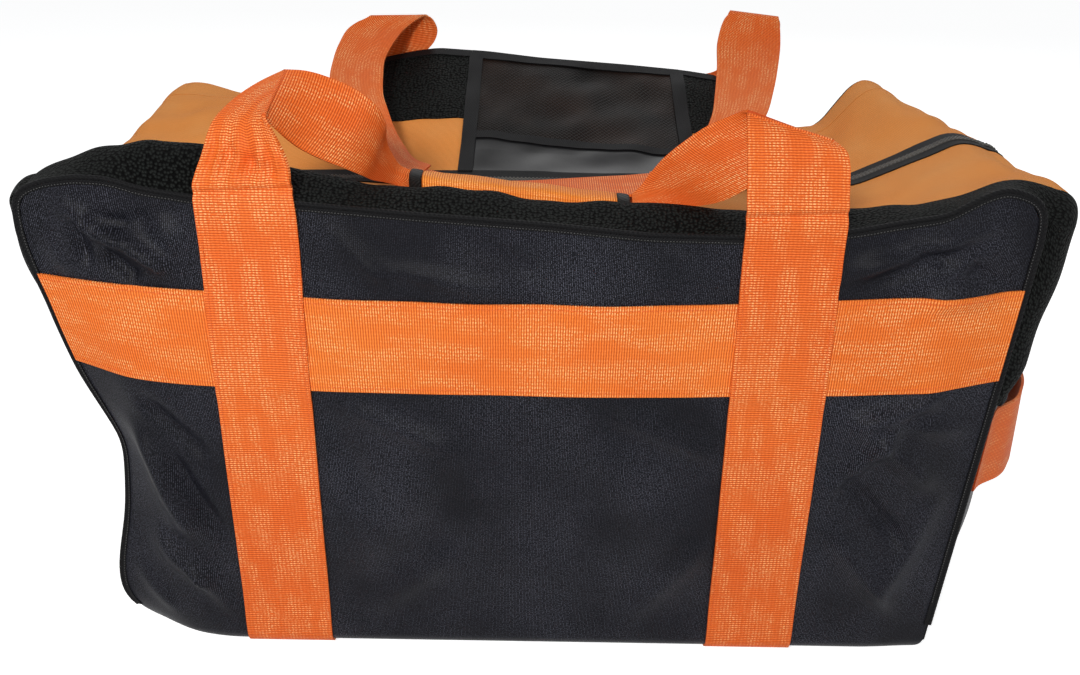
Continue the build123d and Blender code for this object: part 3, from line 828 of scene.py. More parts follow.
def finish_for(key):
    """The material of each finish on the bag."""
    c = bpy.context.scene.bag_colours
    orange, dark, black = list(c.webbing), list(c.body), [0.004, 0.004, 0.0045]
    makers = {
        # The webbing's glint colour is a painted highlight on its floats.
        "webbing": lambda: webbing_finish("orange_webbing", orange, list(c.painted_glint)),
        "band": lambda: webbing_finish("band_webbing", list(c.band), list(c.painted_glint)),
        "grip_webbing": lambda: webbing_finish("grip_webbing", list(c.grip), list(c.painted_glint)),
        "orange_fabric": lambda: plain_weave_finish("orange_cloth", list(c.top), list(c.top_pale),
                                                    0.0011),
        # The dark cloth's last colour is its painted glints.
        "body_fabric": lambda: plain_weave_finish(
            "dark_cloth", dark, list(c.body_sheen), 0.0013, 0.46, 0.09, 0.8, 0.35, list(c.body_glint)),
        "base_fabric": lambda: plain_weave_finish(
            "base_cloth", dark, [0.012, 0.012, 0.014], 0.0016, 0.6, 0.1),
        # The knit mesh's second colour is its painted highlight on the knob tops.
        "mesh": lambda: knit_mesh_finish("knit_mesh", [0.0003, 0.0003, 0.0003], [0.016, 0.018, 0.017]),
        "binding": lambda: ribbed_tape_finish("black_binding", black),
        "piping": lambda: ribbed_tape_finish("piping_tape", black, 0.0018),
        "zip_tape": lambda: ribbed_tape_finish("zipper_tape", black, 0.0009),
        "zip_coil": lambda: smooth_vinyl_finish(
            "zipper_coil", [0.03, 0.028, 0.026], [0.10, 0.094, 0.085], 0.4),
        "embossed_vinyl": lambda: diamond_vinyl_finish("diamond_vinyl", list(c.pane),
                                                       list(c.pane_bright)),
        "window_vinyl": lambda: smooth_vinyl_finish(
            "smooth_vinyl", [0.003, 0.003, 0.0034], [0.014, 0.014, 0.0155]),
        "grip_end": lambda: ribbed_tape_finish("grip_edge", [0.008, 0.008, 0.008], 0.0016, 0.5),
        "slider_metal": lambda: lacquer_finish("black_lacquer", [0.02, 0.02, 0.021]),
        "thread_orange": lambda: thread_finish("orange_thread", [part * 1.1 for part in orange]),
        "thread_grey": lambda: thread_finish("grey_thread", [0.05, 0.05, 0.05]),
    }
    return makers[key]()


def dress(piece, finish, body=None, replaced=()):
    """Give a piece its finish, its place on a body and the CAD nodes that it stands for."""
    piece.data.materials.clear()
    piece.data.materials.append(finish_for(finish))
    if replaced:
        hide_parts(*replaced)
    if body:
        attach(piece, body)
    return piece


# ---------------------------------------------------------------------------------------------------
# Pieces
# ---------------------------------------------------------------------------------------------------


def build_walls():
    """The two long walls, finer where they bend, and the bottom between their rounded corners."""
    fraction = np.sin(np.linspace(-1, 1, 170) * np.pi / 2 * 0.86) / np.sin(np.pi / 2 * 0.86)
    v = np.concatenate([np.linspace(0, 0.15, 12), np.linspace(0.15, 1, 90)[1:]])
    F, V = np.meshgrid(fraction, v, indexing="ij")
    for side, name in ((-1, "front_panel"), (1, "rear_panel")):
        grid = wall_surface(side, F, V)
        piece = cloth(name + "_cloth", grid, CLOTH_THICKNESS, (0, side, 0))
        dress(piece, "body_fabric", "bag", [name])
    half = BASE_HALF - 26
    x = np.linspace(-1, 1, 90)
    y = CORNER_RADIUS - HALF_DEPTH + (HALF_DEPTH - CORNER_RADIUS) * 2 * np.linspace(0, 1, 50)
    X, Y = np.meshgrid(x, y, indexing="ij")
    turn = np.clip((np.abs(X) - 0.9) / 0.1, 0, 1) * np.pi / 2
    flat = np.minimum(np.abs(X), 0.9) / 0.9 * half
    PX = np.sign(X) * (flat + 24 * np.sin(turn))
    PZ = BASE_Z + 0.3 + CORNER_RADIUS * (1 - np.cos(turn))
    grid = np.stack([PX, Y, PZ + 0 * Y], -1)
    dress(cloth("base_cloth_panel", grid, 2.2, (0, 0, -1)), "base_fabric", "bag", ["bottom_panel"])


def end_lower_grid(side):
    """The dark lower half of an end: from the seam down, and rounded under at the foot."""
    y = np.linspace(-199, 199, 60)
    z = np.linspace(SEAM_Z + 1, 4, 60)
    Y, Z = np.meshgrid(y, z, indexing="ij")
    x = end_reach(side, Y, np.maximum(Z, WALL_BASE))
    low = np.clip((WALL_BASE - Z) / CORNER_RADIUS, 0, 1)
    tuck = CORNER_RADIUS * (1 - np.sqrt(1 - low**2))
    y_in = np.clip(np.abs(Y) / 199, 0, 1)
    folds = END_FOLD * ripple(Y, Z, 21, 90) * np.clip((199 - np.abs(Y)) / 30, 0, 1)
    pull = 1 - 0.12 * low**2 * y_in**4
    return np.stack([side * (x - tuck + folds * (1 - low)), Y * pull, Z], -1)


def build_ends():
    """The dark lower half of each end and the corded seam above it."""
    for side, word in ((-1, "left"), (1, "right")):
        piece = cloth(word + "_end_lower_cloth", end_lower_grid(side), CLOTH_THICKNESS, (side, 0, 0))
        dress(piece, "body_fabric", "bag", [word + "_end_panel"])
        run = np.linspace(-197, 197, 120)
        line = np.stack([side * (end_reach(side, run, SEAM_Z) + 1.2), run, SEAM_Z + 0 * run], -1)
        dress(tube(word + "_end_seam", line, length("piping_radius"), 8), "piping", "bag")


def build_front_top():
    """Front half of the top with both ends' upper fabric, and the mesh strip along its front edge."""
    t = np.concatenate([np.linspace(-3, -1, 60), np.linspace(-1, 1, 220)[1:-1], np.linspace(1, 3, 60)])
    s = np.linspace(0, 1, 46)
    T, S = np.meshgrid(t, s, indexing="ij")
    x_near = np.clip(T, -1, 1) * 400
    back = strip_back(x_near)
    Y = back + S * (-TAPE_HALF + 2 - back)
    dress(cloth("front_top_cloth", skin(T, Y), CLOTH_THICKNESS, (0, 0, 1)), "orange_fabric", "bag",
          ["front_top_panel", "left_front_top_end", "right_front_top_end", "left_end_upper",
           "right_end_upper"])
    s = np.linspace(0, 1, 26) ** 1.8
    T, S = np.meshgrid(t, s, indexing="ij")
    back = strip_back(np.clip(T, -1, 1) * 400) + 3 - 6 * np.clip(np.abs(T) - 1, 0, 2)
    Y = -199.0 + S * (back + 199.0)
    piece = cloth("front_mesh_gusset", skin(T, Y), 2.4, (0, 0, 1), 1.0, rows_apart=True)
    dress(piece, "mesh", "bag", ["front_mesh_strip"])


def build_rear_ends():
    """Fixed ends of the rear half of the top, each with a narrow gusset down its rear edge."""
    far = np.concatenate([np.linspace(0, 1, 60), np.linspace(1, 3, 60)[1:]])

    def end_patch(name, side, y, thickness, lift=0.0, replaced=()):
        """Cloth from the flap's side edge out over the end, down to the colour seam."""
        F, Y = np.meshgrid(far, y, indexing="ij")
        start = np.abs(t_at(side * FLAP_HALF, Y))
        T = side * np.where(F <= 1, start + F * (1 - start), F)
        piece = cloth(name, skin(T, Y), thickness, (0, 0, 1), lift)
        dress(piece, "orange_fabric", "bag", replaced)

    for side, word in ((-1, "left"), (1, "right")):
        end_patch(word + "_rear_end_cloth", side, np.linspace(TAPE_HALF - 2, 165, 60), CLOTH_THICKNESS,
                  replaced=[word + "_rear_top_end"])
        end_patch(word + "_rear_gusset", side, np.linspace(163, 198.5, 14), TRIM_THICKNESS, 0.4)


def flap_grid(x, y):
    """A patch of the rear half of the top at places x, y, on the skin."""
    X, Y = np.meshgrid(x, y, indexing="ij")
    return skin(t_at(X, Y), Y)


# Where the flap's zipper is split into side pieces and a middle: x of the fixed end and of the free end
LEFT_BEND = (-FLAP_HALF, -120.0)
RIGHT_BEND = (FLAP_HALF, 160.0)


def flap_piece(name, grid, thickness, finish, lift=0.0, side=0, replaced=()):
    """A piece of the flap. side -1 or 1 leaves it on no body, its place baked into its mesh; 0 rides
    the flap.
    """
    piece = cloth(name, grid, thickness, (0, -0.3, 1), lift)
    dress(piece, finish, None, replaced)
    if side:
        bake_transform(piece)
    else:
        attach(piece, "rear_flap")
    return piece


def cross_line(x):
    """Where the binding between the two panes runs: further back at the left."""
    left, right = WINDOW
    return 73 - 18 * (x - left) / (right - left)


def pane_grid(x0, x1, s0, s1, upper):
    """A pane between the zipper and the cross binding, or between that and the rear edge."""
    X, S = np.meshgrid(np.linspace(x0, x1, 90), np.linspace(s0, s1, 60), indexing="ij")
    middle = cross_line(X)
    near, far = (middle - 3, 198.0 + 0 * X) if upper else (TAPE_HALF - 2 + 0 * X, middle)
    Y = near + S * (far - near)
    return skin(t_at(X, Y), Y)


def build_flap():
    """Rear half of the top: orange side panels, mesh, and the window with its bindings."""
    near, split, far = TAPE_HALF - 2, 95.0, 198.0
    left, right = WINDOW
    side_y, corner_y, knit_y = (near, split, 40), (split - 1, far, 40), (split - 2, far, 50)
    lining_y, hem_y = (near + 2, far - 3, 40), (190, 199.5, 6)

    def patch(name, x, y, thickness, finish, lift=0.0, side=0, replaced=()):
        """A rectangle of the flap; x and y are (start, stop, count)."""
        grid = flap_grid(np.linspace(*x), np.linspace(*y))
        flap_piece(name, grid, thickness, finish, lift, side, replaced)

    def cloth_patch(name, x, y, side, replaced=()):
        """A rectangle of orange cloth."""
        patch(name, x, y, CLOTH_THICKNESS, "orange_fabric", 0, side, replaced)

    def binding(name, x, y, lift, side=0, replaced=()):
        """A strip of black binding."""
        patch(name, x, y, TRIM_THICKNESS, "binding", lift, side, replaced)

    cloth_patch("flap_left_cloth", (-FLAP_HALF, left, 90), side_y, -1, ["flap_left_panel"])
    cloth_patch("flap_left_corner", (-FLAP_HALF, MESH_X[0], 30), corner_y, -1)
    patch("flap_left_knit", (MESH_X[0] - 2, left, 60), knit_y, 2.2, "mesh", 1.0, -1, ["flap_left_mesh"])
    cloth_patch("flap_right_cloth", (right, FLAP_HALF, 50), side_y, 1, ["flap_right_panel"])
    cloth_patch("flap_right_corner", (MESH_X[1], FLAP_HALF, 24), corner_y, 1)
    patch("flap_right_knit", (right, MESH_X[1] + 2, 40), knit_y, 2.2, "mesh", 1.0, 1,
          ["flap_right_mesh"])
    flap_piece("window_smooth_pane", pane_grid(left + 8, right - 8, 0.0, 1.06, False), 1.0,
               "window_vinyl", 0.6, 0, ["window_lower"])
    flap_piece("window_diamond_pane", pane_grid(left + 8, right - 8, 0.0, 1.0, True), 1.0,
               "embossed_vinyl", 0.6, 0, ["window_upper"])
    binding("window_left_binding", (left - 3, left + 11, 8), (near, far, 60), 2.2, 0, ["window_frame"])
    binding("window_right_binding", (right - 11, right + 3, 8), (near, far, 60), 2.2)
    X, W = np.meshgrid(np.linspace(left, right, 80), np.linspace(-5, 5, 8), indexing="ij")
    Y = cross_line(X) + W
    flap_piece("window_cross_binding", skin(t_at(X, Y), Y), TRIM_THICKNESS, "binding", 2.0)
    binding("window_top_binding", (left, right, 80), (188, 199.5, 8), 2.0)
    binding("knit_left_binding", (MESH_X[0] - 3, left, 60), hem_y, 1.8, -1)
    binding("knit_right_binding", (right, MESH_X[1] + 3, 40), hem_y, 1.8, 1)
    patch("flap_lining_left", (-FLAP_HALF + 1, left, 60), lining_y, LINING_THICKNESS, "body_fabric",
          -3.2, -1)
    patch("flap_lining_right", (right, FLAP_HALF - 1, 40), lining_y, LINING_THICKNESS, "body_fabric",
          -3.2, 1)


def piping_line(side, inset=0.0):
    """Up one side edge of a long wall, round the corner, along its top edge and down the other side.
    inset moves the line in from the edge."""
    z_up = np.linspace(34, 386, 60)
    x_edge = half_length(z_up) - inset
    x_top = np.linspace(-TOP_HALF + 20, TOP_HALF - 24, 220)
    left = np.stack([-x_edge, 0 * z_up, z_up], -1)
    top = np.stack([x_top, 0 * x_top, wall_top(side, x_top) - inset], -1)
    corner = np.linspace(0, 1, 14)[1:-1, None]

    def rounded(a, b, ahead_a, ahead_b):
        """A corner from a to b as one cubic with the given directions at its ends."""
        h00 = (1 + 2 * corner) * (1 - corner) ** 2
        h10 = corner * (1 - corner) ** 2
        h01 = corner**2 * (3 - 2 * corner)
        h11 = corner**2 * (corner - 1)
        return h00 * a + h10 * ahead_a + h01 * b + h11 * ahead_b

    slope_in = (top[1] - top[0]) / np.linalg.norm(top[1] - top[0])
    slope_out = (top[-1] - top[-2]) / np.linalg.norm(top[-1] - top[-2])
    up = np.array([0, 0, 1.0])
    right = left[::-1] * [-1, 1, 1]
    reach_in = 1.5 * np.linalg.norm(top[0] - left[-1])
    reach_out = 1.5 * np.linalg.norm(top[-1] - right[0])
    line = np.concatenate([left, rounded(left[-1], top[0], up * reach_in, slope_in * reach_in), top,
                           rounded(top[-1], right[0], slope_out * reach_out, -up * reach_out), right])
    line[:, 1] = side * (HALF_DEPTH - 0.5)
    return line


def build_piping():
    """Each long wall's piping: a cord round its edge, a tape beside the cord, and a seam in the tape.
    The rear cord sits a little lower and further out, clear of the flap."""
    for side, word in ((-1, "front"), (1, "rear")):
        line = piping_line(side, 0.0 if side < 0 else 3.0)
        line[:, 1] += 0.0 if side < 0 else 2.0
        cord = tube(word + "_piping_cord", line, length("piping_radius"), 12)
        dress(cord, "piping", "bag", [word + "_piping"])
        if side < 0:
            a, b = piping_line(side, 1.5), piping_line(side, 5.0)
        else:
            a, b = line - [0, 0, 1], line - [0, 0, 5]
        a[:, 1] = b[:, 1] = side * (HALF_DEPTH + 0.6)
        s = np.linspace(0, 1, 4)[None, :, None]
        grid = a[:, None] * (1 - s) + b[:, None] * s
        x, z = grid[..., 0], grid[..., 2]
        grid[..., 1] += side * wall_out(side, x, z, wall_top(side, x))
        dress(cloth(word + "_piping_tape", grid, 1.0, (0, side, 0), 0.4), "binding", "bag")
        row = grid[4:-4, 2] + [0, side * 0.6, 0]
        seam = stitches(word + "_piping_stitching", [(row, (0, side, 0))], 2.4, 1.4, 0.35)
        dress(seam, "thread_grey", "bag")


def band_edges(x):
    """Heights of the band's lower and upper edges: it rises towards both ends of the bag."""
    s = np.abs(x) / 375.0
    return length("band_low") - 1 + 17 * s**4, length("band_high") + 17 * s**2


def build_bands():
    """The wide band across each long wall, stitched along both its edges. The rear one is level."""
    for side, word in ((-1, "front"), (1, "rear")):
        x = np.linspace(-1, 1, 220)
        w = np.linspace(0, 1, 14)
        X, W = np.meshgrid(x, w, indexing="ij")
        low, high = band_edges(X * 375)
        if side > 0:
            low, high = length("band_low") + 0 * X, length("band_high") + 0 * X
        Z = low + W * (high - low)
        PX = X * (half_length(Z) - 3)
        out = HALF_DEPTH + wall_out(side, PX, Z, wall_top(side, PX)) + 1.9
        grid = np.stack([PX, side * out, Z], -1)
        dress(cloth(word + "_band_webbing", grid, TRIM_THICKNESS, (0, side, 0)), "band", "bag",
              [word + "_band"])
        rows = []
        for share in (0.05, 0.95):
            k = share * 13
            low_k = int(k)
            row = grid[:, low_k] * (1 - (k - low_k)) + grid[:, low_k + 1] * (k - low_k)
            rows.append((row + [0, side * 0.25, 0], (0, side, 0)))
        dress(stitches(word + "_band_stitching", rows), "thread_orange", "bag")


def strap_rows(centre, front, rear_top=REAR_STRAP_TOP):
    """Half of a strap as rungs (left edge, right edge): from under the bag, round the bottom corner and
    up the wall, following the wall's belly and standing over the band."""
    r = CORNER_RADIUS + 2.5
    face = STRAP_FACE - 0.2
    top = FRONT_STRAP_TOP if front else rear_top
    side = -1 if front else 1
    y_flat = np.linspace(0, face - r, 12)
    turn = np.linspace(0, np.pi / 2, 9)[1:]
    z_up = np.linspace(r, top, 80 if front else 84)[1:]
    y = np.concatenate([y_flat, (face - r) + r * np.sin(turn), face + 0 * z_up])
    z = np.concatenate([0 * y_flat, r - r * np.cos(turn), z_up])
    w = np.linspace(-HALF_WEBBING, HALF_WEBBING, 15)
    Y, W = np.meshgrid(y, w, indexing="ij")
    Z, _ = np.meshgrid(z, w, indexing="ij")
    X = centre + W
    on_wall = np.clip((Z - r - 2) / 20, 0, 1) * np.clip((top - Z) / 26, 0, 1)
    out = wall_out(side, X, Z, wall_top(side, X))
    above, below = Z - length("band_low") + 12, length("band_high") + 12 - Z
    over = 1.6 * np.clip(above / 10, 0, 1) * np.clip(below / 10, 0, 1)
    Y = Y + on_wall * (out - 2.2 + over)
    return np.stack([X, side * Y, Z], -1)


def strap_seams(grid, side, start, stop):
    """Stitching a little inside both edges of a strap."""
    rows = []
    for k, shift in ((0, 3.0), (-1, -3.0)):
        line = grid[start:stop, k] + [shift, side * 0.35, 0]
        rows.append((line, (0, side, 0)))
    return rows


def build_straps():
    """The two straps under the bag and up the rear wall, and the seams of both their sides. Their front
    parts belong to the front handle's pieces."""
    for word, centre in (("left", LEFT_STRAP_X), ("right", RIGHT_STRAP_X)):
        front = strap_rows(centre, True)
        rear = strap_rows(centre, False, REAR_LEFT_STRAP_TOP if word == "left" else REAR_STRAP_TOP)
        under = np.concatenate([front[:0:-1], rear])[: len(front) + len(rear)]
        keep = under[len(front) - 23:]
        piece = cloth(word + "_strap_webbing", keep, length("webbing_thickness"), (0, 0, -1))
        dress(piece, "webbing", "bag", [word + "_strap"])
        rows = strap_seams(front, -1, 22, len(front) - 4) + strap_seams(rear, 1, 22, len(rear) - 4)
        dress(stitches(word + "_strap_stitching", rows), "thread_orange", "bag")


def build_end_handles():
    """A strap across each end, sewn down at both tabs and standing off between them. The left one's
    front tab is drawn in with the slack of that end."""
    for side, word, front, limit in ((-1, "left", -128.0, 433.0), (1, "right", -188.0, 441.0)):
        reach = np.array([[front, 1.5], [front + 10, 3], [front + 24, 16], [front + 50, 26], [0, 30],
                          [110, 28],
                          [150, 20], [176, 6], [188, 1.5]])
        Y, Z = np.meshgrid(np.linspace(front, 188, 110), np.linspace(*END_HANDLE_Z, 13), indexing="ij")
        X = np.minimum(end_reach(side, Y, Z) + hermite(reach[:, 0], reach[:, 1], Y), limit)
        piece = cloth(word + "_end_handle_webbing", np.stack([side * X, Y, Z], -1), 2.2, (side, 0, 0))
        dress(piece, "webbing", "bag", [word + "_end_handle"])


def tape_grid(t_values, side):
    """One half of the zipper's tape, beside the coil."""
    near, far = sorted((side * ZIPPER_HALF_GAP, side * TAPE_HALF))
    T, Y = np.meshgrid(t_values, np.linspace(near, far, 5), indexing="ij")
    return skin(T, Y)


def coil_grid(t_values, side):
    """Half of the zipper's coil: a rounded ridge whose height waves once for each turn of the coil."""
    y = np.linspace(0.25, 4.6, 7)
    T, Y = np.meshgrid(t_values, side * y, indexing="ij")
    base = skin(T, Y * 0 + side * 1.0)
    turns = run_along(base[:, 0]) / length("coil_pitch")
    wave = 0.5 + 0.5 * np.cos(2 * np.pi * turns + (np.pi if side < 0 else 0))[:, None]
    crown = np.sin(np.pi * (y - 0.25) / 4.35)[None] ** 0.6
    grid = base.copy()
    grid[..., 1] = Y
    grid[..., 2] = base[..., 2] + 1.4 + 1.9 * crown * (0.2 + 0.8 * wave)
    return grid


def even_t(low, high, step):
    """Values of t spaced evenly along the top and over the ends."""
    probe = np.linspace(low, high, 1600)
    line = skin(probe, probe * 0)
    run = run_along(line)
    count = max(3, int(run[-1] / step))
    return np.interp(np.linspace(0, run[-1], count), run, probe)


def build_zipper():
    """Tapes and coils: the front half and both ends stay on the bag, the middle of the rear half rides
    the flap and its two side pieces are on no body.
    """

    def fixed(word, low, high, side, tape_for=(), coil_for=()):
        """A stretch of tape and coil that stays on the bag."""
        tape = cloth(word + "_zipper_tape", tape_grid(even_t(low, high, ZIPPER_STEP), side), 1.0,
                     (0, 0, 1), 1.2)
        dress(tape, "zip_tape", "bag", tape_for)
        coil = cloth(word + "_zipper_coil", coil_grid(even_t(low, high, COIL_STEP), side), 1.2,
                     (0, 0, 1))
        dress(coil, "zip_coil", "bag", coil_for)

    fixed("front", -ZIPPER_REACH, ZIPPER_REACH, -1, ["front_zip_tape", "left_zip_end", "right_zip_end"],
          ["front_zip_coil"])
    edge = float(t_at(FLAP_HALF, 0.0))
    for side, word in ((-1, "left"), (1, "right")):
        low, high = sorted((side * edge, side * ZIPPER_REACH))
        fixed(word + "_end", low, high, 1)
    bends = (-FLAP_HALF, LEFT_BEND[1], RIGHT_BEND[1], FLAP_HALF)
    for side, start, stop, word in zip((-1, 0, 1), bends, bends[1:], ("left", "middle", "right")):
        low, high = float(t_at(start, 0.0)), float(t_at(stop, 0.0))
        for part, grid, thickness, lift in (
            ("tape", tape_grid(even_t(low, high, ZIPPER_STEP), 1), 1.0, 1.2),
            ("coil", coil_grid(even_t(low, high, COIL_STEP), 1), 1.2, 0),
        ):
            replaced = ["flap_zip_" + part] if side == 0 else []
            flap_piece("flap_zipper_" + part + "_" + word, grid, thickness, "zip_" + part, lift, side,
                       replaced)


# Handles as two edges each, points (x, y, z) that match one for one. A leg rises from the wall, a
# strand or turn runs on from it.
FRONT_LEFT_LEG = (
    [
        (-243, -202, 428), (-237, -194, 446), (-233, -187, 460), (-228, -181, 470), (-214, -168, 483),
        (-199, -158, 492), (-182, -151, 499.5),
    ],
    [
        (-172, -203.5, 426), (-173, -204, 440), (-177, -205, 454), (-182, -206, 466),
        (-185, -206.5, 471), (-186.5, -206.5, 475), (-186, -206, 477),
    ],
)
FRONT_LEFT_TURN = (
    [
        (-182, -151, 499.5), (-168, -149, 498.5), (-149, -147, 493), (-131, -144, 484),
        (-117, -141, 472), (-111, -134, 457), (-112, -126, 441), (-109, -117, 427), (-104, -110, 417),
        (-96, -106, 412),
    ],
    [
        (-186, -206, 477), (-179, -200, 466), (-168, -190, 451), (-153, -180, 439), (-139, -170, 430),
        (-127, -158, 421), (-121, -145, 414), (-115, -132, 409), (-108, -121, 404), (-97, -114, 399),
    ],
)
FRONT_RIGHT_LEG = (
    [
        (161, -203, 424), (160, -201, 442), (159.5, -194, 459), (159.5, -186, 472), (160, -179, 478),
    ],
    [
        (236, -203, 420), (235, -202, 434), (234, -199, 446), (231, -194, 455), (223, -188, 461),
    ],
)
FRONT_RIGHT_STRAND = (
    [
        (160, -179, 478), (156, -171, 476.5), (149, -162, 471), (136, -152, 462), (124, -144, 451),
        (113, -138, 440), (105, -132, 430), (98, -127, 419), (91, -123, 407), (84, -121, 399),
    ],
    [
        (223, -188, 461), (204, -189, 448), (184, -186, 433), (165, -180, 421), (152, -171, 410),
        (141, -161, 403), (129, -150, 398), (118, -141, 394), (104, -135, 391), (85, -131, 389),
    ],
)
REAR_LEFT_LEG = (
    [
        (-244.5, 205, 416), (-229, 205, 422), (-220, 204.5, 432), (-219, 204, 446), (-212, 202, 463),
        (-197, 197, 481), (-182, 192, 491), (-172, 187, 497),
    ],
    [
        (-169.5, 205, 416), (-146, 205, 437), (-124, 204, 456), (-109, 203, 470), (-104, 202, 482),
        (-107, 199, 493), (-111, 196, 497), (-115, 193, 499),
    ],
)
REAR_LEFT_STRAND = (
    [
        (-171, 186, 498), (-182, 179, 494), (-192, 171, 488), (-200, 152, 474), (-203, 128, 459),
        (-201, 100, 446), (-189, 72, 436), (-172, 44, 426), (-154, 16, 416), (-136, -14, 406),
        (-117, -44, 399), (-98, -72, 395),
    ],
    [
        (-116, 192, 499), (-123, 186, 496), (-133, 178, 489), (-142, 158, 479), (-150, 134, 464),
        (-149, 106, 451), (-145, 76, 438), (-137, 50, 427), (-128, 26, 415), (-115, -2, 404),
        (-104, -20, 398), (-90, -24, 394),
    ],
)
REAR_RIGHT_LEG = (
    [
        (162.5, 205, 441), (186, 205, 441.5), (199, 204.5, 447), (203, 203, 468), (203, 200, 490),
        (203, 198.5, 499), (203.5, 197.5, 504.5), (205, 196, 507.5),
    ],
    [
        (237.5, 205, 441), (248, 205, 444), (256, 204, 453), (260, 202.5, 470), (260, 200.5, 486),
        (259.5, 198.5, 495), (258, 197.5, 499.5), (255.5, 196.5, 502),
    ],
)
REAR_RIGHT_STRAND = (
    [
        (205, 194.5, 507.5), (198, 186, 501), (190, 168, 484), (186, 136, 460), (180, 97, 442),
        (172, 56, 426), (152, 6, 408), (126, -46, 397), (100, -80, 392),
    ],
    [
        (255.5, 195, 502), (256, 187, 495), (255, 170, 480), (248, 136, 460), (238, 99, 442),
        (225, 60, 427), (197, 16, 407), (156, -10, 395), (108, -18, 391),
    ],
)


def finer(grid, columns):
    """The same surface with more columns across."""
    at = np.linspace(0, grid.shape[1] - 1, columns)
    k = np.minimum(at.astype(int), grid.shape[1] - 2)
    s = (at - k)[None, :, None]
    return grid[:, k] * (1 - s) + grid[:, k + 1] * s


def gathers(grid, height, spread, depth, crease):
    """Small upright puckers across a strap where it is bunched: five waves whose depth dies away above
    and below the given height, a slanting fold beside them, and a sharp crease at the height crease."""
    w = np.linspace(0, 1, grid.shape[1])[None, :]
    z = grid[..., 2]
    wave = np.sin(2 * np.pi * (5 * w + 0.25 * np.sin(6 * w))) * np.sin(np.pi * w) ** 0.5
    slant = np.exp(-(((z - height + 26 * (w - 0.5)) / 6) ** 2))
    push = depth * wave * np.exp(-(((z - height) / spread) ** 2))
    push = push - 1.3 * depth * slant * np.sin(np.pi * w)
    above = z - crease - 4 * w
    push = push - 2.4 * np.exp(-((above / 2.6) ** 2)) + 1.2 * np.exp(-(((above - 7) / 4) ** 2))
    out = grid.copy()
    out[..., 1] -= push
    return out


def build_front_handle():
    """Each side is one strap from under the bag, up the front and over into the handle. It bends where
    it leaves the top of the front wall. At its crease the strap turns over and runs to the grip."""
    sides = (("left", LEFT_STRAP_X, FRONT_LEFT_LEG, FRONT_LEFT_TURN),
             ("right", RIGHT_STRAP_X, FRONT_RIGHT_LEG, FRONT_RIGHT_STRAND))
    thickness = length("webbing_thickness")
    for word, centre, leg, turned in sides:
        strap = strap_rows(centre, True)[22:-1]
        tail = webbing_grid(np.concatenate([strap[-4:-3, 0], strap[-1:, 0], leg[0]]),
                            np.concatenate([strap[-4:-3, -1], strap[-1:, -1], leg[1]]), 150)
        join = int(np.argmin(np.linalg.norm(tail[:, 7] - strap[-1, 7], axis=-1)))
        whole = finer(np.concatenate([strap, tail[join + 1:]]), 45)
        whole = gathers(whole, 441, 13, 3.2, 418) if word == "left" else gathers(whole, 452, 10, 0.4,
                                                                                 405)
        piece = cloth("front_handle_" + word + "_webbing", whole, thickness, (0, -1, 0),
                      columns_apart=True)
        dress(piece, "webbing", None, ["front_handle_" + word])
        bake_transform(piece)
        turn = cloth("front_handle_" + word + "_turn", webbing_grid(*turned, 110), thickness,
                     (0, -0.6, 1),
                     columns_apart=True)
        dress(turn, "webbing", "front_handle")
        a, b = np.array(leg[0][-1]), np.array(leg[1][-1])
        line = a + np.linspace(0.01, 0.99, 30)[:, None] * (b - a) - [0, 0, 1.1]
        dress(tube("front_handle_" + word + "_crease", line, 1.5, 8), "webbing", "front_handle")


def build_grip():
    """The padded sleeve: rounded-box sections along a slanting line, pinched at its ends, and two black
    edges. A section's corners come from raising the cosine and sine to a power below one."""
    start, end = np.array([-97.0, -108.0, 405.0]), np.array([82.0, -128.0, 391.5])

    def bar(name, share0, share1, width, height, finish, replaced, pinch):
        """A stretch of the grip between two shares of its length."""
        count, sides = 60, 40
        s = np.linspace(0, 1, count)
        at = share0 + (share1 - share0) * s
        centre = start + at[:, None] * (end - start)
        turn = np.linspace(0, 2 * np.pi, sides, endpoint=False)
        swell = 1 - pinch * np.abs(2 * s - 1) ** 6
        ca, sa = np.cos(turn), np.sin(turn)
        ring_y = np.sign(ca) * np.abs(ca) ** 0.62
        ring_z = np.sign(sa) * np.abs(sa) ** 0.62
        y = centre[:, 1:2] + (width / 2) * swell[:, None] * ring_y[None]
        z = centre[:, 2:3] + (height / 2) * swell[:, None] * ring_z[None]
        z = z + 0.5 * np.sin(centre[:, :1] / 9) * np.maximum(ring_z[None], 0)
        verts = np.stack([np.broadcast_to(centre[:, :1], y.shape), y, z], -1).reshape(-1, 3)
        uv = np.stack(np.meshgrid(centre[:, 0] * 0.001, turn * 0.014, indexing="ij"), -1).reshape(-1, 2)
        piece = put_mesh(name, verts, ring_faces(count, sides), uv)
        face_outwards(piece)
        return dress(piece, finish, "front_handle", replaced)

    bar("grip_webbing_sleeve", 0.06, 0.94, 26, 15.5, "grip_webbing", ["grip_sleeve"], 0.06)
    bar("grip_left_edge", 0.0, 0.059, 25.5, 15, "grip_end", ["grip_left_end"], 0.15)
    bar("grip_right_edge", 0.941, 1.0, 25.5, 15, "grip_end", ["grip_right_end"], 0.15)


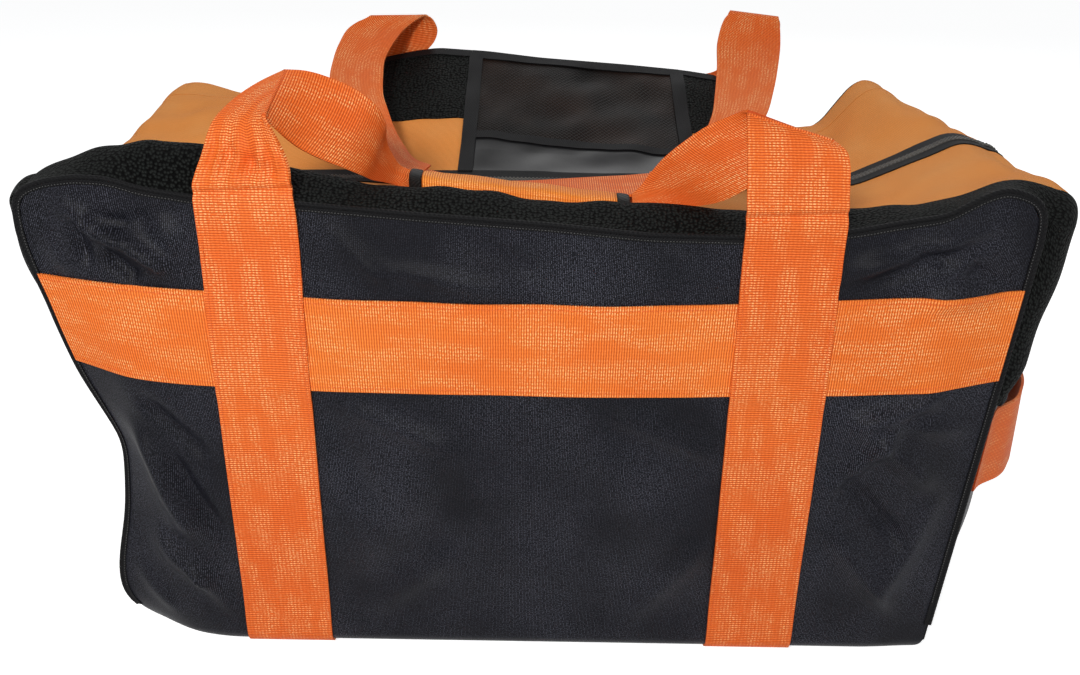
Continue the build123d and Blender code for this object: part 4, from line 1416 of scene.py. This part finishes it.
def build_rear_handle():
    """The rear handle's two sides and the loop between them. The left side's first few centimetres lie
    on the wall and stay with the bag. From the hinge up each side is a piece on no body; the loop rides
    the rear handle."""
    thickness = length("webbing_thickness")
    sides = (("left", REAR_LEFT_LEG, REAR_LEFT_STRAND), ("right", REAR_RIGHT_LEG, REAR_RIGHT_STRAND))
    for word, leg, strand in sides:
        grid = webbing_grid(leg[0] + strand[0], leg[1] + strand[1], 190)
        start = int(np.argmax(grid[:, 7, 2] > 441.0))
        if start > 2:
            low = cloth("rear_strap_" + word + "_top", grid[: start + 1], thickness, (0, 1, 0.4),
                        columns_apart=True)
            dress(low, "webbing", "bag")
        piece = cloth("rear_handle_" + word + "_webbing", grid[start:], thickness, (0, 1, 0.4),
                      columns_apart=True)
        dress(piece, "webbing", None, ["rear_handle_" + word])
        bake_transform(piece)
    x = np.linspace(-98, 108, 60)
    w = np.linspace(0, 1, 13)
    X, W = np.meshgrid(x, w, indexing="ij")
    near = -84 + 0 * X
    far = -20 - 14 * bump(X, -10, 60)
    Y = near + W * (far - near)
    Z = 385.5 + 1.2 * np.sin(X / 30) - 0.006 * X + 6.0 * np.clip(np.abs(X - 5) / 103, 0, 1) ** 3
    grid = np.stack([X, Y, Z], -1)
    loop = cloth("rear_handle_loop_webbing", grid, thickness, (0, 0, 1))
    dress(loop, "webbing", "rear_handle", ["rear_handle_loop"])


def build_flap_hinge():
    """The cloth that joins the rear wall's top edge to the flap. It is tucked in while the flap is
    shut."""
    X, S = np.meshgrid(np.linspace(-FLAP_HALF, FLAP_HALF, 120), np.linspace(0, 1, 9), indexing="ij")
    grid = np.stack([X, 199.6 - 3.0 * S, wall_top(1, X) - 2.4 + 0.5 * S], -1)
    piece = cloth("flap_hinge_cloth", grid, 1.0, (0, 0, 1))
    dress(piece, "binding")
    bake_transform(piece)


def build_slider():
    """The slider and its pull keep their own shape and take the black lacquer."""
    for node in ("slider_body", "pull_tab"):
        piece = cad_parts[node]
        if isinstance(piece, str):
            piece = bpy.data.objects[piece]
        for slot in piece.material_slots:
            slot.material = finish_for("slider_metal")


# ---------------------------------------------------------------------------------------------------
# Stage
# ---------------------------------------------------------------------------------------------------

FLOOR_HALF = 14.0  # metres
FLOOR_Z = -0.0006  # metres
FLOOR_GLOW = 0.76  # white of its own that a direct look adds
WORLD_LIGHT = 0.25
# Name, place, aim and size in metres, power in watts, colour
LAMPS = (
    ("key", (-0.32, -1.4, 1.1), (0, -0.1, 0.28), (0.26, 0.26), 17, (1.0, 0.985, 0.96)),
    ("fill", (2.2, -1.8, 1.5), (0, 0, 0.2), (1.6, 1.6), 9, (0.97, 0.98, 1.0)),
    ("back", (0.3, 2.2, 2.4), (0, 0, 0.3), (2.0, 1.2), 20, (1, 1, 1)),
)


def build_camera(view):
    """A camera from its place, tilt, turn and roll: axes worked out by hand, then set as a matrix."""
    pitch, yaw, roll = view.pitch, view.yaw, view.roll
    ahead = np.array([np.sin(yaw) * np.cos(pitch), np.cos(yaw) * np.cos(pitch), -np.sin(pitch)])
    right = np.array([np.cos(yaw), -np.sin(yaw), 0.0])
    down = np.cross(ahead, right)
    across = np.cos(roll) * right - np.sin(roll) * down
    below = np.sin(roll) * right + np.cos(roll) * down
    data = bpy.data.cameras.new("camera")
    data.sensor_width = 36.0
    data.lens = view.lens
    data.clip_start = 0.05
    camera = bpy.data.objects.new("camera", data)
    camera.matrix_world = Matrix(
        [[across[k], -below[k], -ahead[k], view.place[k]] for k in range(3)] + [[0, 0, 0, 1]]
    )
    bpy.context.scene.collection.objects.link(camera)
    bpy.context.scene.camera = camera


def area_light(name, place, aim, size, power, colour):
    """A rectangular lamp at a place, turned towards aim."""
    data = bpy.data.lights.new(name, "AREA")
    data.shape = "RECTANGLE"
    data.size, data.size_y = size
    data.energy = power
    data.color = colour
    light = bpy.data.objects.new(name, data)
    ahead = np.array(aim, float) - np.array(place, float)
    ahead /= np.linalg.norm(ahead)
    side = np.cross(ahead, [0, 0, 1.0])
    side /= np.linalg.norm(side)
    up = np.cross(side, ahead)
    light.matrix_world = Matrix([[side[k], up[k], -ahead[k], place[k]] for k in range(3)] + [[0, 0, 0,
                                                                                              1]])
    bpy.context.scene.collection.objects.link(light)


def seen_directly(tree):
    """One for a ray that comes from the camera, a reflection or a transmission, otherwise zero."""
    path = tree.nodes.new("ShaderNodeLightPath")
    seen = combine(tree, "MAXIMUM", path.outputs["Is Camera Ray"], path.outputs["Is Glossy Ray"])
    return combine(tree, "MAXIMUM", seen, path.outputs["Is Transmission Ray"])


def build_stage():
    """White floor and world. A camera sees the floor as its lit surface plus a little white of its own,
    so it reads as white and keeps the soft shadow."""
    scene = bpy.context.scene
    scene.view_settings.view_transform = "Standard"
    world = bpy.data.worlds.new("studio")
    scene.world = world
    world.use_nodes = True
    tree = world.node_tree
    tree.nodes.clear()
    white = add_node(tree, "ShaderNodeBackground", Color=(1, 1, 1, 1), Strength=1.0)
    soft = add_node(tree, "ShaderNodeBackground", Color=(0.96, 0.98, 1, 1), Strength=WORLD_LIGHT)
    mix = tree.nodes.new("ShaderNodeMixShader")
    out = tree.nodes.new("ShaderNodeOutputWorld")
    tree.links.new(seen_directly(tree), mix.inputs[0])
    tree.links.new(soft.outputs[0], mix.inputs[1])
    tree.links.new(white.outputs[0], mix.inputs[2])
    tree.links.new(mix.outputs[0], out.inputs["Surface"])
    mesh = bpy.data.meshes.new("studio_floor")
    corners = [(x * FLOOR_HALF, y * FLOOR_HALF, FLOOR_Z) for x,
               y in ((-1, -1), (1, -1), (1, 1), (-1, 1))]
    mesh.from_pydata(corners, [], [(0, 1, 2, 3)])
    floor = bpy.data.objects.new("studio_floor", mesh)
    scene.collection.objects.link(floor)
    material, tree, shader = start_material("studio_floor")
    if tree:
        shader.inputs["Base Color"].default_value = (0.85, 0.85, 0.85, 1)
        shader.inputs["Roughness"].default_value = 0.9
        shader.inputs["Specular IOR Level"].default_value = 0.0
        shader.inputs["Emission Color"].default_value = (1, 1, 1, 1)
        glow = combine(tree, "MULTIPLY", seen_directly(tree), FLOOR_GLOW)
        tree.links.new(glow, shader.inputs["Emission Strength"])
    mesh.materials.append(material)
    for lamp in LAMPS:
        area_light(*lamp)


# ---------------------------------------------------------------------------------------------------
# Add-on
# ---------------------------------------------------------------------------------------------------


def colour(name, description, default):
    """A colour property with three parts."""
    return FloatVectorProperty(name=name, description=description, subtype="COLOR", size=3,
                               default=default)


def distance(name, description, millimetres):
    """A length property, in metres as Blender keeps it."""
    return FloatProperty(name=name, description=description, subtype="DISTANCE", unit="LENGTH",
                         precision=4, default=millimetres / 1000)


class BagSizes(PropertyGroup):
    """Sizes of the trim and of the folds"""

    webbing_thickness: distance("Webbing thickness", "Thickness of the straps and handles", 2.0)
    piping_radius: distance("Piping radius", "Radius of the piping and of the end seams", 2.0)
    band_low: distance("Band, lower edge", "Height of the wide band's lower edge", 259.0)
    band_high: distance("Band, upper edge", "Height of the wide band's upper edge", 334.0)
    coil_pitch: distance("Coil pitch", "Length of one turn of the zipper's coil", 3.6)
    stitch_pitch: distance("Stitch pitch", "From one stitch to the next on bands and straps", 3.4)
    stitch_length: distance("Stitch length", "Length of one stitch on bands and straps", 2.3)
    fold_depth: FloatProperty(name="Fold depth", description="How deep the long walls' folds are",
                              default=1.35)


class BagColours(PropertyGroup):
    """Colours of the cloth, webbing and window"""

    webbing: colour("Webbing", "Colour of the straps and handles", (0.84, 0.15, 0.018))
    band: colour("Band", "Colour of the wide band", (0.88, 0.19, 0.024))
    # Painted glint colour: threads painted bright as a highlight on the webbing.
    painted_glint: colour("Glint", "Colour of the bright threads", (1.0, 0.60, 0.26))
    grip: colour("Grip", "Colour of the padded grip", (0.86, 0.26, 0.03))
    top: colour("Top cloth", "Colour of the top fabric", (0.93, 0.32, 0.062))
    top_pale: colour("Top cloth, pale", "Its lighter threads", (0.98, 0.44, 0.135))
    body: colour("Body cloth", "Colour of the dark body fabric", (0.0022, 0.0022, 0.0036))
    body_sheen: colour("Body cloth, sheen", "Its lighter threads", (0.006, 0.0062, 0.0105))
    # Painted glints: threads of the dark cloth painted bright as a highlight.
    body_glint: colour("Body cloth, bright thread", "Its threads that catch light",
                        (0.085, 0.088, 0.115))
    pane: colour("Pane", "Colour of the embossed pane", (0.0025, 0.0018, 0.0016))
    pane_bright: colour("Pane, bright", "Its lighter patches", (0.026, 0.0145, 0.0105))


class BagView(PropertyGroup):
    """Where the camera stands and how it looks"""

    place: FloatVectorProperty(name="Place", description="Where the camera stands", size=3,
                               subtype="TRANSLATION", unit="LENGTH", default=(0.014, -0.930, 0.629))
    pitch: FloatProperty(name="Pitch", description="How far the camera looks down", unit="ROTATION",
                         default=float(np.radians(23.9)))
    yaw: FloatProperty(name="Yaw", description="Turn of the camera", unit="ROTATION",
                       default=float(np.radians(-0.2)))
    roll: FloatProperty(name="Roll", description="Roll of the camera", unit="ROTATION",
                        default=float(np.radians(0.8)))
    lens: FloatProperty(name="Lens", description="Focal length on a 36 mm sensor", default=34.2)


class BAG_OT_stage(Operator):
    """Make the camera, floor, world and lamps"""

    bl_idname = "bag.stage"
    bl_label = "Stage"

    def execute(self, context):
        build_stage()
        build_camera(context.scene.bag_view)
        return {"FINISHED"}


class BAG_OT_walls(Operator):
    """Make the front, rear and bottom cloth"""

    bl_idname = "bag.walls"
    bl_label = "Walls"

    def execute(self, context):
        build_walls()
        return {"FINISHED"}


class BAG_OT_ends(Operator):
    """Make the lower ends and their seams"""

    bl_idname = "bag.ends"
    bl_label = "Ends"

    def execute(self, context):
        build_ends()
        return {"FINISHED"}


class BAG_OT_front_top(Operator):
    """Make the front half of the top and its mesh strip"""

    bl_idname = "bag.front_top"
    bl_label = "Front top"

    def execute(self, context):
        build_front_top()
        return {"FINISHED"}


class BAG_OT_rear_ends(Operator):
    """Make the fixed ends of the rear half of the top"""

    bl_idname = "bag.rear_ends"
    bl_label = "Rear ends"

    def execute(self, context):
        build_rear_ends()
        return {"FINISHED"}


class BAG_OT_flap(Operator):
    """Make the opening rear half with mesh and window"""

    bl_idname = "bag.flap"
    bl_label = "Flap"

    def execute(self, context):
        build_flap()
        return {"FINISHED"}


class BAG_OT_flap_hinge(Operator):
    """Make the cloth joining the flap to the rear wall"""

    bl_idname = "bag.flap_hinge"
    bl_label = "Flap hinge"

    def execute(self, context):
        build_flap_hinge()
        return {"FINISHED"}


class BAG_OT_zipper(Operator):
    """Make the zipper tapes and coils"""

    bl_idname = "bag.zipper"
    bl_label = "Zipper"

    def execute(self, context):
        build_zipper()
        return {"FINISHED"}


class BAG_OT_slider(Operator):
    """Give the zipper slider and pull their finish"""

    bl_idname = "bag.slider"
    bl_label = "Slider"

    def execute(self, context):
        build_slider()
        return {"FINISHED"}


class BAG_OT_piping(Operator):
    """Make the piping round the long walls"""

    bl_idname = "bag.piping"
    bl_label = "Piping"

    def execute(self, context):
        build_piping()
        return {"FINISHED"}


class BAG_OT_bands(Operator):
    """Make the wide bands"""

    bl_idname = "bag.bands"
    bl_label = "Bands"

    def execute(self, context):
        build_bands()
        return {"FINISHED"}


class BAG_OT_straps(Operator):
    """Make the two straps"""

    bl_idname = "bag.straps"
    bl_label = "Straps"

    def execute(self, context):
        build_straps()
        return {"FINISHED"}


class BAG_OT_end_handles(Operator):
    """Make the end handles"""

    bl_idname = "bag.end_handles"
    bl_label = "End handles"

    def execute(self, context):
        build_end_handles()
        return {"FINISHED"}


class BAG_OT_front_handle(Operator):
    """Make the front carry handle"""

    bl_idname = "bag.front_handle"
    bl_label = "Front handle"

    def execute(self, context):
        build_front_handle()
        return {"FINISHED"}


class BAG_OT_grip(Operator):
    """Make the padded grip"""

    bl_idname = "bag.grip"
    bl_label = "Grip"

    def execute(self, context):
        build_grip()
        return {"FINISHED"}


class BAG_OT_rear_handle(Operator):
    """Make the rear carry handle"""

    bl_idname = "bag.rear_handle"
    bl_label = "Rear handle"

    def execute(self, context):
        build_rear_handle()
        return {"FINISHED"}


OPERATORS = [
    BAG_OT_stage, BAG_OT_walls, BAG_OT_ends, BAG_OT_front_top, BAG_OT_rear_ends, BAG_OT_flap,
    BAG_OT_flap_hinge, BAG_OT_zipper, BAG_OT_slider, BAG_OT_piping, BAG_OT_bands, BAG_OT_straps,
    BAG_OT_end_handles, BAG_OT_front_handle, BAG_OT_grip, BAG_OT_rear_handle,
]


class BAG_PT_panel(Panel):
    """Lists the bag's builders"""

    bl_idname = "BAG_PT_panel"
    bl_label = "Equipment Bag"
    bl_space_type = "VIEW_3D"
    bl_region_type = "UI"
    bl_category = "Bag"

    def draw(self, context):
        """One button for each builder, in the order in which they run."""
        for step in OPERATORS:
            self.layout.operator(step.bl_idname)


CLASSES = [BagSizes, BagColours, BagView, *OPERATORS, BAG_PT_panel]


def register():
    """Add the classes and their settings to Blender."""
    for item in CLASSES:
        bpy.utils.register_class(item)
    bpy.types.Scene.bag_sizes = PointerProperty(type=BagSizes)
    bpy.types.Scene.bag_colours = PointerProperty(type=BagColours)
    bpy.types.Scene.bag_view = PointerProperty(type=BagView)


def unregister():
    """Take them out again."""
    del bpy.types.Scene.bag_view
    del bpy.types.Scene.bag_colours
    del bpy.types.Scene.bag_sizes
    for item in reversed(CLASSES):
        bpy.utils.unregister_class(item)


def main():
    """Build every piece."""
    register()
    bpy.ops.bag.stage()
    bpy.ops.bag.walls()
    bpy.ops.bag.ends()
    bpy.ops.bag.front_top()
    bpy.ops.bag.rear_ends()
    bpy.ops.bag.flap()
    bpy.ops.bag.flap_hinge()
    bpy.ops.bag.zipper()
    bpy.ops.bag.slider()
    bpy.ops.bag.piping()
    bpy.ops.bag.bands()
    bpy.ops.bag.straps()
    bpy.ops.bag.end_handles()
    bpy.ops.bag.front_handle()
    bpy.ops.bag.grip()
    bpy.ops.bag.rear_handle()


if __name__ == "__main__":
    main()
